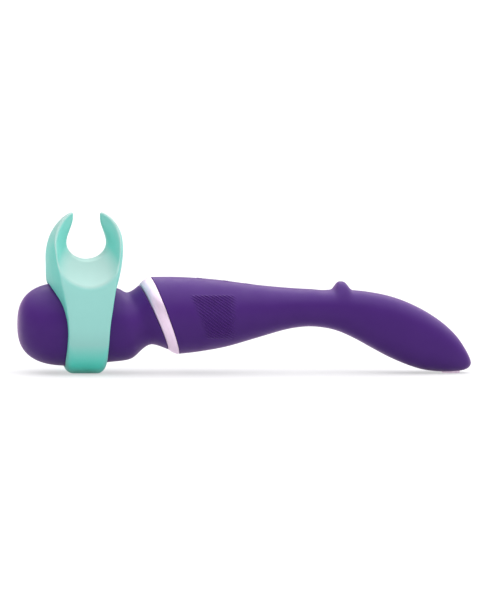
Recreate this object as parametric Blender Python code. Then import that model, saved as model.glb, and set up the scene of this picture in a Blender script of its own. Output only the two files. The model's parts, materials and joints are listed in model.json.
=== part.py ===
"""Handheld wand massager with a slip-on forked attachment.

The wand lies along X with its head at -X and its charging tail at +X, resting on the flat under the
attachment's band and on the charging plate under the tail. Y = 0 is its plane of symmetry and Z = 0
is the surface it rests on. All dimensions below are in millimetres; meshes are scaled to metres.
"""

import math

import bmesh
import bpy
from mathutils import Matrix, Vector

MM = 0.001

# ---------------------------------------------------------------- driving dimensions, in millimetres
HEAD_AXIS_Z = 34.2
HEAD_TIP_X = -162.5
HEAD_FULL_X = -124.0
HEAD_RADIUS = 29.3
HEAD_BACK_X = -100.0
HEAD_TAPER = 0.004
DOME_POWER = 2.7

SKIN = 2.0
CLEARANCE = 0.3
SHELL_WALL = 1.6
SHELL_OUT = SKIN + 0.5
SHELL_IN = SHELL_OUT + SHELL_WALL
SPLIT_GAP = 0.15

AROUND = 24

# A station is (top x, top z, bottom x, bottom z, half width, squareness) of one cross-section.
NECK_STATIONS = [
    (-100.0, 61.1, -100.0, 7.3, 26.9, 2.0),
    (-91.4, 59.0, -81.8, 10.0, 25.2, 2.0),
    (-89.0, 57.6, -76.8, 15.1, 22.9, 2.0),
    (-86.0, 56.3, -69.8, 20.1, 20.5, 2.0),
    (-81.6, 58.2, -62.8, 18.8, 21.8, 2.0),
    (-77.2, 61.8, -56.4, 16.3, 24.4, 2.0),
]
HANDLE_STATIONS = [
    (-69.6, 67.4, -49.0, 13.3, 27.6, 2.0),
    (-50.0, 67.5, -36.0, 14.8, 26.8, 2.05),
    (-24.0, 65.9, -16.0, 18.4, 24.4, 2.1),
    (6.0, 62.2, 8.0, 25.3, 20.4, 2.15),
    (30.0, 60.1, 29.0, 31.2, 17.4, 2.2),
    (46.0, 59.4, 45.0, 32.9, 16.3, 2.25),
    (66.0, 59.2, 62.0, 30.5, 16.4, 2.35),
    (86.0, 57.6, 77.0, 24.3, 17.6, 2.6),
    (105.0, 53.7, 90.0, 17.3, 18.6, 2.8),
    (123.0, 46.4, 106.0, 9.3, 18.8, 2.8),
    (139.0, 36.6, 125.0, 2.6, 17.6, 2.65),
    (150.5, 26.2, 142.6, 0.8, 14.6, 2.45),
    (157.9, 15.6, 155.2, 1.7, 9.8, 2.25),
    (161.0, 9.6, 160.0, 3.6, 4.8, 2.0),
]
TAIL_TIP = (161.6, 6.7)
LINING_TIP = (158.7, 7.5)

THUMB_STOP_X = 66.6
THUMB_STOP_HEIGHT = 5.8
THUMB_STOP_FRONT = (4.8, 3.4)
THUMB_STOP_BACK = (5.1, 2.9)
THUMB_STOP_WRAP = 3.0
THUMB_REST_X = 54.0
THUMB_REST_LENGTH = 6.5
THUMB_REST_DEPTH = 0.7

RING_WALL = 3.0
COLLAR_INSET = RING_WALL + 0.4
COLLAR_BORE = 8.0
SEAL_WALL = 3.0

# The flexible core of the neck, which bends about the pivot halfway between its two ends.
NECK_PIVOT = (-77.0, 0.0, 38.2)
NECK_CORE_FRONT = (-89.0, 0.0, 35.4)
NECK_CORE_BACK = (-70.0, 0.0, 39.0)
SPRING_TURNS = 5
SPRING_RADIUS = 12.6
SPRING_WIRE = 1.0

MOTOR_RADIUS = 14.0
RUBBER_RADIUS = 23.6
RUBBER_WIDTH = 4.0
MOTOR_FRONT_X = -136.0
MOTOR_BACK_X = -106.0
SHAFT_RADIUS = 1.5
WEIGHT_RADIUS = 17.0

BUTTON_RADIUS = 4.6
BUTTON_TILT = math.radians(6.5)
BUTTON_TRAVEL = 0.6
BUTTON_PROUD = 0.15
BUTTON_EDGE = 0.3
BUTTON_CROWN = 1.4
BUTTONS = {"power": (-36.0, 66.85), "up": (-17.0, 64.95), "down": (-1.0, 63.05)}
STEM_RADIUS = 1.5
STEM_HOLE_RADIUS = 2.1
LENS_RADIUS = 1.25
LENS_AT = (-26.5, 66.0)
BOARD_BOTTOM_Z = 52.7
BOARD_TOP_Z = 54.1
SWITCH_HEIGHT = 2.6
SWITCH_HALF = 3.0
LENS_STANDOFF = 0.8

BATTERY_RADIUS = 9.25
BATTERY_AXIS_Z = 42.5
BATTERY_CAP_RADIUS = 2.6
BATTERY_X = (-52.0, 13.0)

SCREWS = {1: (-38.0, 25.0, 12.6), 2: (36.0, 46.0, 13.0), 3: (78.0, 41.0, 13.4), 4: (116.0, 27.5, 14.6)}
BOSS_RADIUS = 3.2
SCREW_HOLE_RADIUS = 1.4
SCREW_MOUTH_RADIUS = 2.3
SCREW_CORE_RADIUS = 1.05
SCREW_HEAD = (1.5, 1.9)
SCREW_SEAT_DEPTH = 2.8
HOLE_REACH = 6.0
STEM_HOLE_DEPTH = 12.0
CUT_PAST = 2.0

PLATE_X = 147.0
PLATE_HALF = (6.5, 4.8)
PLATE_THICKNESS = 1.6
PIN_SPACING = 6.4
PIN_RADIUS = 1.1
PIN_LENGTH = 5.0
PIN_HOLE_RADIUS = 1.5

BAND_CENTRE_X = -115.8
BAND_RADIUS = 34.8
BORE_RADIUS = 29.75
FORK_TOP_Z = 113.2
NOTCH_FLOOR_Z = 80.0

COLOURS = {
    "purple_silicone": ((0.075, 0.030, 0.170), 0.55, 0.0),
    "mint_silicone": ((0.340, 0.680, 0.620), 0.50, 0.0),
    "rose_metal": ((0.860, 0.760, 0.850), 0.22, 1.0),
    "white_plastic": ((0.800, 0.800, 0.790), 0.45, 0.0),
    "dark_plastic": ((0.030, 0.030, 0.035), 0.50, 0.0),
    "steel": ((0.560, 0.570, 0.580), 0.30, 1.0),
    "copper": ((0.720, 0.420, 0.260), 0.35, 1.0),
    "gold_contact": ((0.830, 0.650, 0.300), 0.25, 1.0),
    "board_green": ((0.020, 0.160, 0.070), 0.45, 0.0),
    "cell_wrap": ((0.050, 0.180, 0.420), 0.40, 0.0),
    "seal_rubber": ((0.020, 0.020, 0.020), 0.70, 0.0),
    "lead_red": ((0.500, 0.030, 0.030), 0.50, 0.0),
    "clear_lens": ((0.850, 0.860, 0.880), 0.15, 0.0),
}


# ---------------------------------------------------------------------------------- curves and rings
def smooth_curve(keys):
    """Return f(s) through rows (s, v, v, ...), with slopes taken from each row's neighbours."""

    def slope(i, column):
        before, after = keys[max(i - 1, 0)], keys[min(i + 1, len(keys) - 1)]
        return (after[column] - before[column]) / (after[0] - before[0])

    def value(s):
        i = 0
        while i < len(keys) - 2 and s > keys[i + 1][0]:
            i += 1
        low, high = keys[i], keys[i + 1]
        span = high[0] - low[0]
        t = (s - low[0]) / span
        h00, h10 = (1 + 2 * t) * (1 - t) ** 2, t * (1 - t) ** 2
        h01, h11 = t * t * (3 - 2 * t), t * t * (t - 1)
        return [
            h00 * low[c] + h10 * span * slope(i, c) + h01 * high[c] + h11 * span * slope(i + 1, c)
            for c in range(1, len(low))
        ]

    return value


def station_curve(stations):
    """A curve of stations, read by the x of a station's centre."""
    return smooth_curve([((row[0] + row[2]) / 2, *row) for row in stations])


NECK_AT = station_curve(NECK_STATIONS)
HANDLE_AT = station_curve(HANDLE_STATIONS)


def centre_x(station):
    return (station[0] + station[2]) / 2


def signed_power(value, power):
    return math.copysign(abs(value) ** power, value)


def station_point(station, angle, inset):
    """A point of a station's outline: angle 0 is +Y and 90 degrees is the top."""
    top_x, top_z, bottom_x, bottom_z, width, squareness = station
    top, bottom = Vector((top_x, 0, top_z)), Vector((bottom_x, 0, bottom_z))
    height = (top - bottom).length / 2 - inset
    across = (width - inset) * signed_power(math.cos(angle), 2 / squareness)
    along = height * signed_power(math.sin(angle), 2 / squareness)
    up = (top - bottom).normalized()
    return (top + bottom) / 2 + up * along + Vector((0, across, 0))


def circle_angles(count=AROUND):
    return [2 * math.pi * i / count for i in range(count)]


def station_ring(station, inset=0.0, count=AROUND):
    return [station_point(station, angle, inset) for angle in circle_angles(count)]


def spread(low, high, count):
    return [low + (high - low) * i / (count - 1) for i in range(count)]


def head_radius(x):
    """The head's radius behind its dome."""
    return HEAD_RADIUS - HEAD_TAPER * (x - HEAD_FULL_X) ** 2


def dome_profile(inset, count):
    """(x, radius) along the head's domed front, without its pole, from the tip backwards."""
    length = HEAD_FULL_X - HEAD_TIP_X - inset
    points = []
    for i in range(1, count + 1):
        angle = math.pi / 2 * i / count
        x = HEAD_FULL_X - length * math.cos(angle) ** (2 / DOME_POWER)
        points.append((x, (HEAD_RADIUS - inset) * math.sin(angle) ** (2 / DOME_POWER)))
    return points


def head_ring(x, radius, count=AROUND):
    return [
        Vector((x, radius * math.cos(a), HEAD_AXIS_Z + radius * math.sin(a)))
        for a in circle_angles(count)
    ]


def head_rings(inset, dome_steps, back_steps, end_s, neck_steps):
    """Rings from the dome to the cross-section at end_s, at a depth below the head's surface."""
    rings = [head_ring(x, r) for x, r in dome_profile(inset, dome_steps)]
    for x in spread(HEAD_FULL_X, HEAD_BACK_X, back_steps)[1:-1]:
        rings.append(head_ring(x, head_radius(x) - inset))
    for s in spread(HEAD_BACK_X, end_s, neck_steps):
        rings.append(station_ring(NECK_AT(s), inset))
    return rings


# ------------------------------------------------------------------------------------- mesh building
def add_ring(bm, points):
    return [bm.verts.new(p) for p in points]


def bridge(bm, first, second):
    count = len(first)
    for i in range(count):
        j = (i + 1) % count
        bm.faces.new((first[i], first[j], second[j], second[i]))


def fan(bm, ring, apex):
    tip = bm.verts.new(apex)
    for i, vertex in enumerate(ring):
        bm.faces.new((vertex, ring[(i + 1) % len(ring)], tip))


def loft(rings, start_pole=None, end_pole=None):
    """A closed solid through rings of points, with flat ends unless a pole is given."""
    bm = bmesh.new()
    layers = [add_ring(bm, points) for points in rings]
    for first, second in zip(layers, layers[1:]):
        bridge(bm, first, second)
    for layer, pole in ((layers[0], start_pole), (layers[-1], end_pole)):
        if pole is None:
            bm.faces.new(layer)
        else:
            fan(bm, layer, pole)
    return bm


def hollow_loft(outer, inner, outer_pole=None, inner_pole=None):
    """A wall between two lofts. Their first rings close on poles, or are joined when there are none."""
    bm = bmesh.new()
    skins = []
    for rings in (outer, inner):
        layers = [add_ring(bm, points) for points in rings]
        for first, second in zip(layers, layers[1:]):
            bridge(bm, first, second)
        skins.append(layers)
    bridge(bm, skins[0][-1], skins[1][-1])
    if outer_pole is None:
        bridge(bm, skins[0][0], skins[1][0])
    else:
        fan(bm, skins[0][0], outer_pole)
        fan(bm, skins[1][0], inner_pole)
    return bm


def rod(start, end, radius, sides=16):
    """A cylinder between two points."""
    start, end = Vector(start), Vector(end)
    turn = (end - start).to_track_quat("Z", "Y")
    rings = []
    for base in (start, end):
        rings.append([
            base + turn @ Vector((radius * math.cos(a), radius * math.sin(a), 0))
            for a in circle_angles(sides)
        ])
    return loft(rings)


def turned(start, direction, profile, sides=24):
    """Revolve a closed outline of (distance, radius) about a line, leaving its centre open."""
    turn = Vector(direction).to_track_quat("Z", "Y")
    bm = bmesh.new()
    loops = []
    for a in circle_angles(sides):
        loops.append(add_ring(bm, [
            Vector(start) + turn @ Vector((r * math.cos(a), r * math.sin(a), d)) for d, r in profile
        ]))
    for i, loop in enumerate(loops):
        bridge(bm, loop, loops[(i + 1) % sides])
    return bm


def turned_solid(start, direction, profile, sides=24):
    """Revolve an open outline of (distance, radius) about a line and close both of its ends."""
    turn = Vector(direction).to_track_quat("Z", "Y")
    rings = []
    for d, r in profile:
        rings.append([
            Vector(start) + turn @ Vector((r * math.cos(a), r * math.sin(a), d))
            for a in circle_angles(sides)
        ])
    return loft(rings)


def block(low, high):
    """A box between two corners."""
    low, high = Vector(low), Vector(high)
    rings = []
    for z in (low.z, high.z):
        rings.append([
            Vector((low.x, low.y, z)),
            Vector((high.x, low.y, z)),
            Vector((high.x, high.y, z)),
            Vector((low.x, high.y, z)),
        ])
    return loft(rings)


def oval_block(middle_x, half, low_z, high_z, sides=24):
    """An upright slab whose outline is a squared oval."""
    rings = []
    for z in (low_z, high_z):
        rings.append([
            Vector((
                middle_x + half[0] * signed_power(math.cos(a), 0.8),
                half[1] * signed_power(math.sin(a), 0.8),
                z,
            ))
            for a in circle_angles(sides)
        ])
    return loft(rings)


def sweep(points, radius, sides=8):
    """A round tube along points, with flat ends."""
    points = [Vector(p) for p in points]
    rings = []
    side = Vector((0, 1, 0))
    for i, point in enumerate(points):
        ahead = points[min(i + 1, len(points) - 1)] - points[max(i - 1, 0)]
        ahead.normalize()
        side = (side - ahead * side.dot(ahead)).normalized()
        up = ahead.cross(side)
        rings.append([
            point + radius * (math.cos(a) * side + math.sin(a) * up) for a in circle_angles(sides)
        ])
    return loft(rings)


def route(points, steps):
    """A smooth path of several steps between neighbouring route points."""
    path = smooth_curve([(i, *p) for i, p in enumerate(points)])
    return [path(s) for s in spread(0, len(points) - 1, steps * (len(points) - 1) + 1)]


# ------------------------------------------------------------------------------ objects in the scene
def clear_scene():
    for item in list(bpy.data.objects):
        bpy.data.objects.remove(item)


def material(name):
    found = bpy.data.materials.get(name)
    if found:
        return found
    colour, roughness, metallic = COLOURS[name]
    made = bpy.data.materials.new(name)
    made.use_nodes = True
    shader = made.node_tree.nodes["Principled BSDF"]
    shader.inputs["Base Color"].default_value = (*colour, 1.0)
    shader.inputs["Roughness"].default_value = roughness
    shader.inputs["Metallic"].default_value = metallic
    made.diffuse_color = (*colour, 1.0)
    return made


def pivot(name, place, parent=None):
    """An empty on a joint's axis. Its place is in world millimetres."""
    empty = bpy.data.objects.new(name, None)
    empty.empty_display_size = 0.01
    empty["place"] = list(place)
    offset = Vector(place)
    if parent:
        offset = offset - Vector(parent["place"])
        empty.parent = parent
    empty.location = offset * MM
    bpy.context.collection.objects.link(empty)
    return empty


def add(name, bm, colour, parent=None):
    """Make an object from a mesh built in world millimetres, with its origin on its parent's axis."""
    bmesh.ops.recalc_face_normals(bm, faces=bm.faces)
    mesh = bpy.data.meshes.new(name)
    bm.to_mesh(mesh)
    bm.free()
    origin = Vector(parent["place"]) if parent else Vector((0, 0, 0))
    mesh.transform(Matrix.Scale(MM, 4) @ Matrix.Translation(-origin))
    mesh.shade_smooth()
    mesh.set_sharp_from_angle(angle=math.radians(35))
    mesh.materials.append(material(colour))
    made = bpy.data.objects.new(name, mesh)
    made.parent = parent
    bpy.context.collection.objects.link(made)
    return made


def boolean(target, tool_bm, name, operation="DIFFERENCE"):
    """Cut or join a target with a hidden tool. Tools are built in world millimetres."""
    tool = add(name, tool_bm, "dark_plastic")
    tool.hide_render = True
    tool.display_type = "WIRE"
    change = target.modifiers.new(name, "BOOLEAN")
    change.operation = operation
    change.object = tool
    change.solver = "EXACT"


# ------------------------------------------------------------------------------------- outer skin
HEAD_COVER_END = -87.6
NECK_START = HEAD_COVER_END + CLEARANCE + 0.1
NECK_END = centre_x(NECK_STATIONS[-1]) - CLEARANCE
RING_END = centre_x(HANDLE_STATIONS[0])
HANDLE_START = RING_END + CLEARANCE + 0.05
TAIL_END = centre_x(HANDLE_STATIONS[-1])
SHELL_END = 134.0
COVER_STOPS = (
    spread(HANDLE_START, 57.0, 11) + spread(58.8, 74.4, 9) + spread(76.5, 150.0, 8)
    + [154.8, 158.4, TAIL_END]
)
SKIN_STOPS = spread(HANDLE_START, 146.0, 17)
LINING_STOPS = SKIN_STOPS + [152.0, 156.5]
SHELL_STOPS = [stop for stop in SKIN_STOPS if stop < SHELL_END] + [SHELL_END]


def thumb_relief(x, angle):
    """Height of the crest that stops the thumb, less the shallow rest before it."""
    if math.sin(angle) <= 0:
        return 0.0
    length, power = THUMB_STOP_FRONT if x < THUMB_STOP_X else THUMB_STOP_BACK
    crest = THUMB_STOP_HEIGHT * math.exp(-(abs((x - THUMB_STOP_X) / length) ** power))
    rest = THUMB_REST_DEPTH * math.exp(-(((x - THUMB_REST_X) / THUMB_REST_LENGTH) ** 2))
    return (crest - rest) * math.sin(angle) ** THUMB_STOP_WRAP


def handle_ring(s, inset=0.0):
    points = []
    for angle in circle_angles():
        point = station_point(HANDLE_AT(s), angle, inset)
        if inset == 0.0:
            point.z += thumb_relief(point.x, angle)
        points.append(point)
    return points


def make_head_cover(head):
    outer = head_rings(0.0, 9, 5, HEAD_COVER_END, 4)
    inner = head_rings(SKIN, 6, 3, HEAD_COVER_END, 3)
    tip = Vector((HEAD_TIP_X, 0, HEAD_AXIS_Z))
    inner_tip = tip + Vector((SKIN, 0, 0))
    bm = hollow_loft(outer, inner, tip, inner_tip)
    add("head_cover", bm, "purple_silicone", head)


def make_neck_sleeve(neck):
    outer = [station_ring(NECK_AT(s)) for s in spread(NECK_START, NECK_END, 8)]
    inner = [station_ring(NECK_AT(s), SKIN) for s in spread(NECK_START, NECK_END, 6)]
    add("neck_sleeve", hollow_loft(outer, inner), "purple_silicone", neck)


def make_handle_cover():
    outer = [handle_ring(s) for s in reversed(COVER_STOPS)]
    inner = [handle_ring(s, SKIN) for s in reversed(LINING_STOPS)]
    tip = Vector((TAIL_TIP[0], 0, TAIL_TIP[1]))
    inner_tip = Vector((LINING_TIP[0], 0, LINING_TIP[1]))
    bm = hollow_loft(outer, inner, tip, inner_tip)
    cover = add("handle_cover", bm, "purple_silicone")
    for name in BUTTONS:
        hole = button_rod(name, -HOLE_REACH, HOLE_REACH, BUTTON_RADIUS + CLEARANCE)
        boolean(cover, hole, f"cover_hole_{name}")
    boolean(cover, lens_rod(-HOLE_REACH, HOLE_REACH, LENS_RADIUS + 0.35), "cover_hole_lens")
    half = (PLATE_HALF[0] + CLEARANCE, PLATE_HALF[1] + CLEARANCE)
    boolean(cover, oval_block(PLATE_X, half, -CUT_PAST, 4.5), "cover_hole_plate")


def ring_section(t, inset):
    """The trim ring's cross-section a share t of the way from the neck to the handle."""
    start, end = NECK_STATIONS[-1], HANDLE_STATIONS[0]
    swell = math.sin(t * math.pi / 2) ** 0.8
    row = [a + (b - a) * t for a, b in zip(start, end)]
    top = Vector((row[0], 0, row[1]))
    bottom = Vector((row[2], 0, row[3]))
    centre, up = (top + bottom) / 2, (top - bottom).normalized()
    lengths = [(Vector((p[0], 0, p[1])) - Vector((p[2], 0, p[3]))).length / 2 for p in (start, end)]
    height = lengths[0] + (lengths[1] - lengths[0]) * swell
    width = start[4] + (end[4] - start[4]) * swell
    top, bottom = centre + up * height, centre - up * height
    return station_ring((top.x, top.z, bottom.x, bottom.z, width, 2.0), inset)


def make_trim_ring():
    shares = spread(0.0, 1.0, 5)
    outer = [ring_section(t, 0.0) for t in shares]
    inner = [ring_section(t, RING_WALL) for t in shares]
    add("trim_ring", hollow_loft(outer, inner), "rose_metal")


# ------------------------------------------------------------------------------------ handle insides
def half_outline(place, side, outer_inset, inner_inset, steps=13):
    """One half of a shell's cross-section: down its outer face and back up its inner face."""
    angles = spread(math.pi / 2, -math.pi / 2, steps)
    outer = [place(a, outer_inset) for a in angles]
    inner = [place(a, inner_inset) for a in reversed(angles)]
    return [Vector((p.x, side * (abs(p.y) + SPLIT_GAP), p.z)) for p in outer + inner]


def make_handle_shells():
    for word, side in (("left", 1), ("right", -1)):
        rings = []
        for stop in SHELL_STOPS:
            station = HANDLE_AT(stop)
            rings.append(half_outline(
                lambda a, inset: station_point(station, a, inset), side, SHELL_OUT, SHELL_IN))
        shell = add(f"handle_shell_{word}", loft(rings), "white_plastic")
        for number, (x, z, reach) in SCREWS.items():
            boss = rod((x, side * SPLIT_GAP, z), (x, side * reach, z), BOSS_RADIUS, 12)
            boolean(shell, boss, f"boss_{word}_{number}", "UNION")
        for number, (x, z, reach) in SCREWS.items():
            start, end = (x, -side * CUT_PAST, z), (x, side * (reach - 3.0), z)
            hole = rod(start, end, SCREW_HOLE_RADIUS, 10)
            boolean(shell, hole, f"screw_hole_{word}_{number}")
            if side < 0:
                start, end = (x, -(reach - 4.4), z), (x, -(reach + 9.0), z)
                mouth = rod(start, end, SCREW_MOUTH_RADIUS, 12)
                boolean(shell, mouth, f"screw_mouth_{number}")
        for name in BUTTONS:
            opening = button_rod(name, -STEM_HOLE_DEPTH, CUT_PAST, STEM_HOLE_RADIUS)
            boolean(shell, opening, f"{name}_{word}_opening")
        boolean(shell, lens_rod(-STEM_HOLE_DEPTH, CUT_PAST, LENS_RADIUS + 0.45), f"lens_{word}_opening")


def make_screws():
    """Screws along Y, from the right shell's bosses into the left shell's, with pointed ends."""
    head_height, head_radius_mm = SCREW_HEAD
    for number, (x, z, reach) in SCREWS.items():
        length = 2 * reach - 9.0
        profile = [
            (0.0, head_radius_mm), (head_height, head_radius_mm), (head_height + 0.2, SCREW_CORE_RADIUS),
            (length - 1.0, SCREW_CORE_RADIUS), (length, 0.4),
        ]
        bm = turned_solid((x, -(reach - SCREW_SEAT_DEPTH), z), (0, 1, 0), profile, 12)
        add(f"shell_screw_{number}", bm, "steel")


def tilt_point(place, distance):
    """A point a distance along the buttons' common axis from a place on the handle's top."""
    x, z = place
    return (x + distance * math.sin(BUTTON_TILT), 0.0, z + distance * math.cos(BUTTON_TILT))


def button_rod(name, low, high, radius):
    return rod(tilt_point(BUTTONS[name], low), tilt_point(BUTTONS[name], high), radius, 20)


def lens_rod(low, high, radius):
    return rod(tilt_point(LENS_AT, low), tilt_point(LENS_AT, high), radius, 12)


def make_buttons():
    """Three caps, each with a stem that ends just above its switch."""
    for name, place in BUTTONS.items():
        axis = pivot(f"{name}_button_slide", (place[0], 0.0, place[1]))
        stem_end_z = BOARD_TOP_Z + CLEARANCE + SWITCH_HEIGHT + BUTTON_TRAVEL + 0.15
        stem = (place[1] - stem_end_z) / math.cos(BUTTON_TILT)
        profile = [
            (-stem, STEM_RADIUS),
            (-SKIN + 0.2, STEM_RADIUS),
            (-SKIN + BUTTON_TRAVEL + 0.7, BUTTON_RADIUS),
            (0.0, BUTTON_RADIUS),
            (BUTTON_PROUD / 2, BUTTON_RADIUS - BUTTON_EDGE),
            (BUTTON_PROUD, BUTTON_RADIUS - BUTTON_CROWN),
        ]
        lean = (math.sin(BUTTON_TILT), 0, math.cos(BUTTON_TILT))
        bm = turned_solid((place[0], 0, place[1]), lean, profile, 20)
        add(f"{name}_button", bm, "purple_silicone", axis)


def make_electronics():
    low, high = BATTERY_X
    profile = [
        (0.0, BATTERY_CAP_RADIUS), (1.2, BATTERY_CAP_RADIUS), (1.2, BATTERY_RADIUS - 1.0),
        (2.0, BATTERY_RADIUS),
        (high - low - 0.6, BATTERY_RADIUS), (high - low, BATTERY_RADIUS - 0.6),
    ]
    battery = turned_solid((low, 0, BATTERY_AXIS_Z), (1, 0, 0), profile)
    add("battery_cell", battery, "cell_wrap")
    tray = add("battery_tray", block((low + 6, -8.5, 31.8), (8.0, 8.5, 38.0)), "dark_plastic")
    seat = rod((low, 0, BATTERY_AXIS_Z), (high, 0, BATTERY_AXIS_Z), BATTERY_RADIUS + CLEARANCE, 24)
    boolean(tray, seat, "tray_seat")
    board = block((low + 2, -8.0, BOARD_BOTTOM_Z), (6.0, 8.0, BOARD_TOP_Z))
    add("main_board", board, "board_green")
    for name, place in BUTTONS.items():
        top_z = BOARD_TOP_Z + CLEARANCE + SWITCH_HEIGHT
        x = place[0] - (place[1] - top_z) * math.tan(BUTTON_TILT)
        low_corner = (x - SWITCH_HALF, -SWITCH_HALF, BOARD_TOP_Z + CLEARANCE)
        body = block(low_corner, (x + SWITCH_HALF, SWITCH_HALF, top_z))
        add(f"{name}_switch", body, "dark_plastic")
    reach = (LENS_AT[1] - BOARD_TOP_Z - LENS_STANDOFF) / math.cos(BUTTON_TILT)
    add("indicator_lens", lens_rod(-reach, BUTTON_PROUD, LENS_RADIUS), "clear_lens")


def make_charging_end():
    rings = [station_ring(HANDLE_AT(s), SHELL_OUT + 0.8) for s in spread(135.0, 152.0, 5)]
    housing = add("charge_housing", loft(rings), "dark_plastic")
    half = (PLATE_HALF[0] + CLEARANCE, PLATE_HALF[1] + CLEARANCE)
    recess = oval_block(PLATE_X, half, -CUT_PAST, PLATE_THICKNESS + CLEARANCE)
    boolean(housing, recess, "plate_recess")
    plate = add("charge_plate", oval_block(PLATE_X, PLATE_HALF, 0.0, PLATE_THICKNESS), "rose_metal")
    for number, shift in ((1, -PIN_SPACING / 2), (2, PIN_SPACING / 2)):
        x = PLATE_X + shift
        low = (x, 0, -CUT_PAST)
        plate_hole = rod(low, (x, 0, PLATE_THICKNESS + CUT_PAST), PIN_HOLE_RADIUS, 14)
        boolean(plate, plate_hole, f"plate_hole_{number}")
        pin_hole = rod(low, (x, 0, PIN_LENGTH + 0.5), PIN_HOLE_RADIUS, 14)
        boolean(housing, pin_hole, f"pin_hole_{number}")
        profile = [(0.0, PIN_RADIUS - 0.4), (0.3, PIN_RADIUS), (PIN_LENGTH, PIN_RADIUS)]
        pin = turned_solid((x, 0, 0.1), (0, 0, 1), profile, 14)
        add(f"charge_pin_{number}", pin, "gold_contact")
    add("charge_board", block((127.4, -9.0, 13.5), (129.0, 9.0, 29.0)), "board_green")
    stops = [
        (126.2, 0, 25.5), (118.0, 0, 34.5), (98.0, 0, 42.5), (78.0, 0, 48.6),
        (56.0, 0, 51.8), (36.0, 0, 52.6), (20.0, 0, 53.2), (6.4, 0, 53.5),
    ]
    add("charge_lead", sweep(route(stops, 3), 0.9), "lead_red")


# --------------------------------------------------------------------------------------------- neck
def make_neck_parts(neck_middle, head):
    stations = [ring_section(t, COLLAR_INSET) for t in (0.08, 0.72)]
    centres = [sum(ring, Vector()) / len(ring) for ring in stations]
    ups = [(ring[AROUND // 4] - ring[3 * AROUND // 4]).normalized() for ring in stations]
    bores = []
    for centre, up in zip(centres, ups):
        bores.append([
            centre + COLLAR_BORE * (math.sin(a) * up + math.cos(a) * Vector((0, 1, 0)))
            for a in circle_angles()
        ])
    add("neck_rear_collar", hollow_loft(stations, bores), "white_plastic")
    seal_outer = [ring_section(t, COLLAR_INSET) for t in (0.78, 0.95)]
    seal_inner = [ring_section(t, COLLAR_INSET + SEAL_WALL) for t in (0.78, 0.95)]
    add("neck_seal", hollow_loft(seal_outer, seal_inner), "seal_rubber")

    front = Vector(NECK_CORE_FRONT)
    back = Vector(NECK_CORE_BACK)
    direction = (back - front).normalized()
    middle = Vector(NECK_PIVOT)
    rim = [(-1.6, 14.8), (1.6, 14.8), (1.6, 17.2), (-1.6, 17.2)]
    add("neck_middle_ring", turned(middle, direction, rim), "white_plastic", neck_middle)

    turn = direction.to_track_quat("Z", "Y")
    coil = []
    per_turn = 14
    steps = SPRING_TURNS * per_turn
    end_gap = SPRING_WIRE + CLEARANCE
    length = (back - front).length - 2 * end_gap
    for i in range(steps + 1):
        angle = 2 * math.pi * i / per_turn
        across = Vector((math.cos(angle), math.sin(angle), 0)) * SPRING_RADIUS
        coil.append(front + turn @ (across + Vector((0, 0, end_gap + length * i / steps))))
    add("neck_spring", sweep(coil, SPRING_WIRE, 6), "steel", neck_middle)

    collar = [(-1.8, 8.0), (0.0, 8.0), (0.0, 20.6), (-1.8, 20.6)]
    add("neck_front_collar", turned(front, direction, collar), "white_plastic", head)
    stops = [
        (-51.4, 0, 52.6), (-57.0, 0, 47.0), (-66.0, 0, 40.6), (-77.0, 0, 38.2),
        (-89.0, 0, 37.4), (-98.0, 0, 39.4), (-103.0, 0, 40.6),
    ]
    add("motor_lead", sweep(route(stops, 3), 0.9), "lead_red", neck_middle)


# --------------------------------------------------------------------------------------------- head
def make_head_shells(head):
    hole = 1.2
    outer = [p for p in dome_profile(SHELL_OUT, 8) if p[1] > hole]
    inner = [p for p in dome_profile(SHELL_IN, 7) if p[1] > hole]
    back = [-112.0, -103.0, -95.4]
    outer = [(outer[0][0] - 0.8, hole)] + outer + [(x, head_radius(x) - SHELL_OUT) for x in back]
    inner = [(inner[0][0] - 0.8, hole)] + inner + [(x, head_radius(x) - SHELL_IN) for x in back]
    outline = outer + inner[::-1]
    for word, side in (("left", 1), ("right", -1)):
        layers = []
        for a in spread(-math.pi / 2, math.pi / 2, 13):
            layers.append([
                Vector((x, side * (r * math.cos(a) + SPLIT_GAP), HEAD_AXIS_Z + r * math.sin(a)))
                for x, r in outline
            ])
        add(f"head_shell_{word}", loft(layers), "white_plastic", head)


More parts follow.
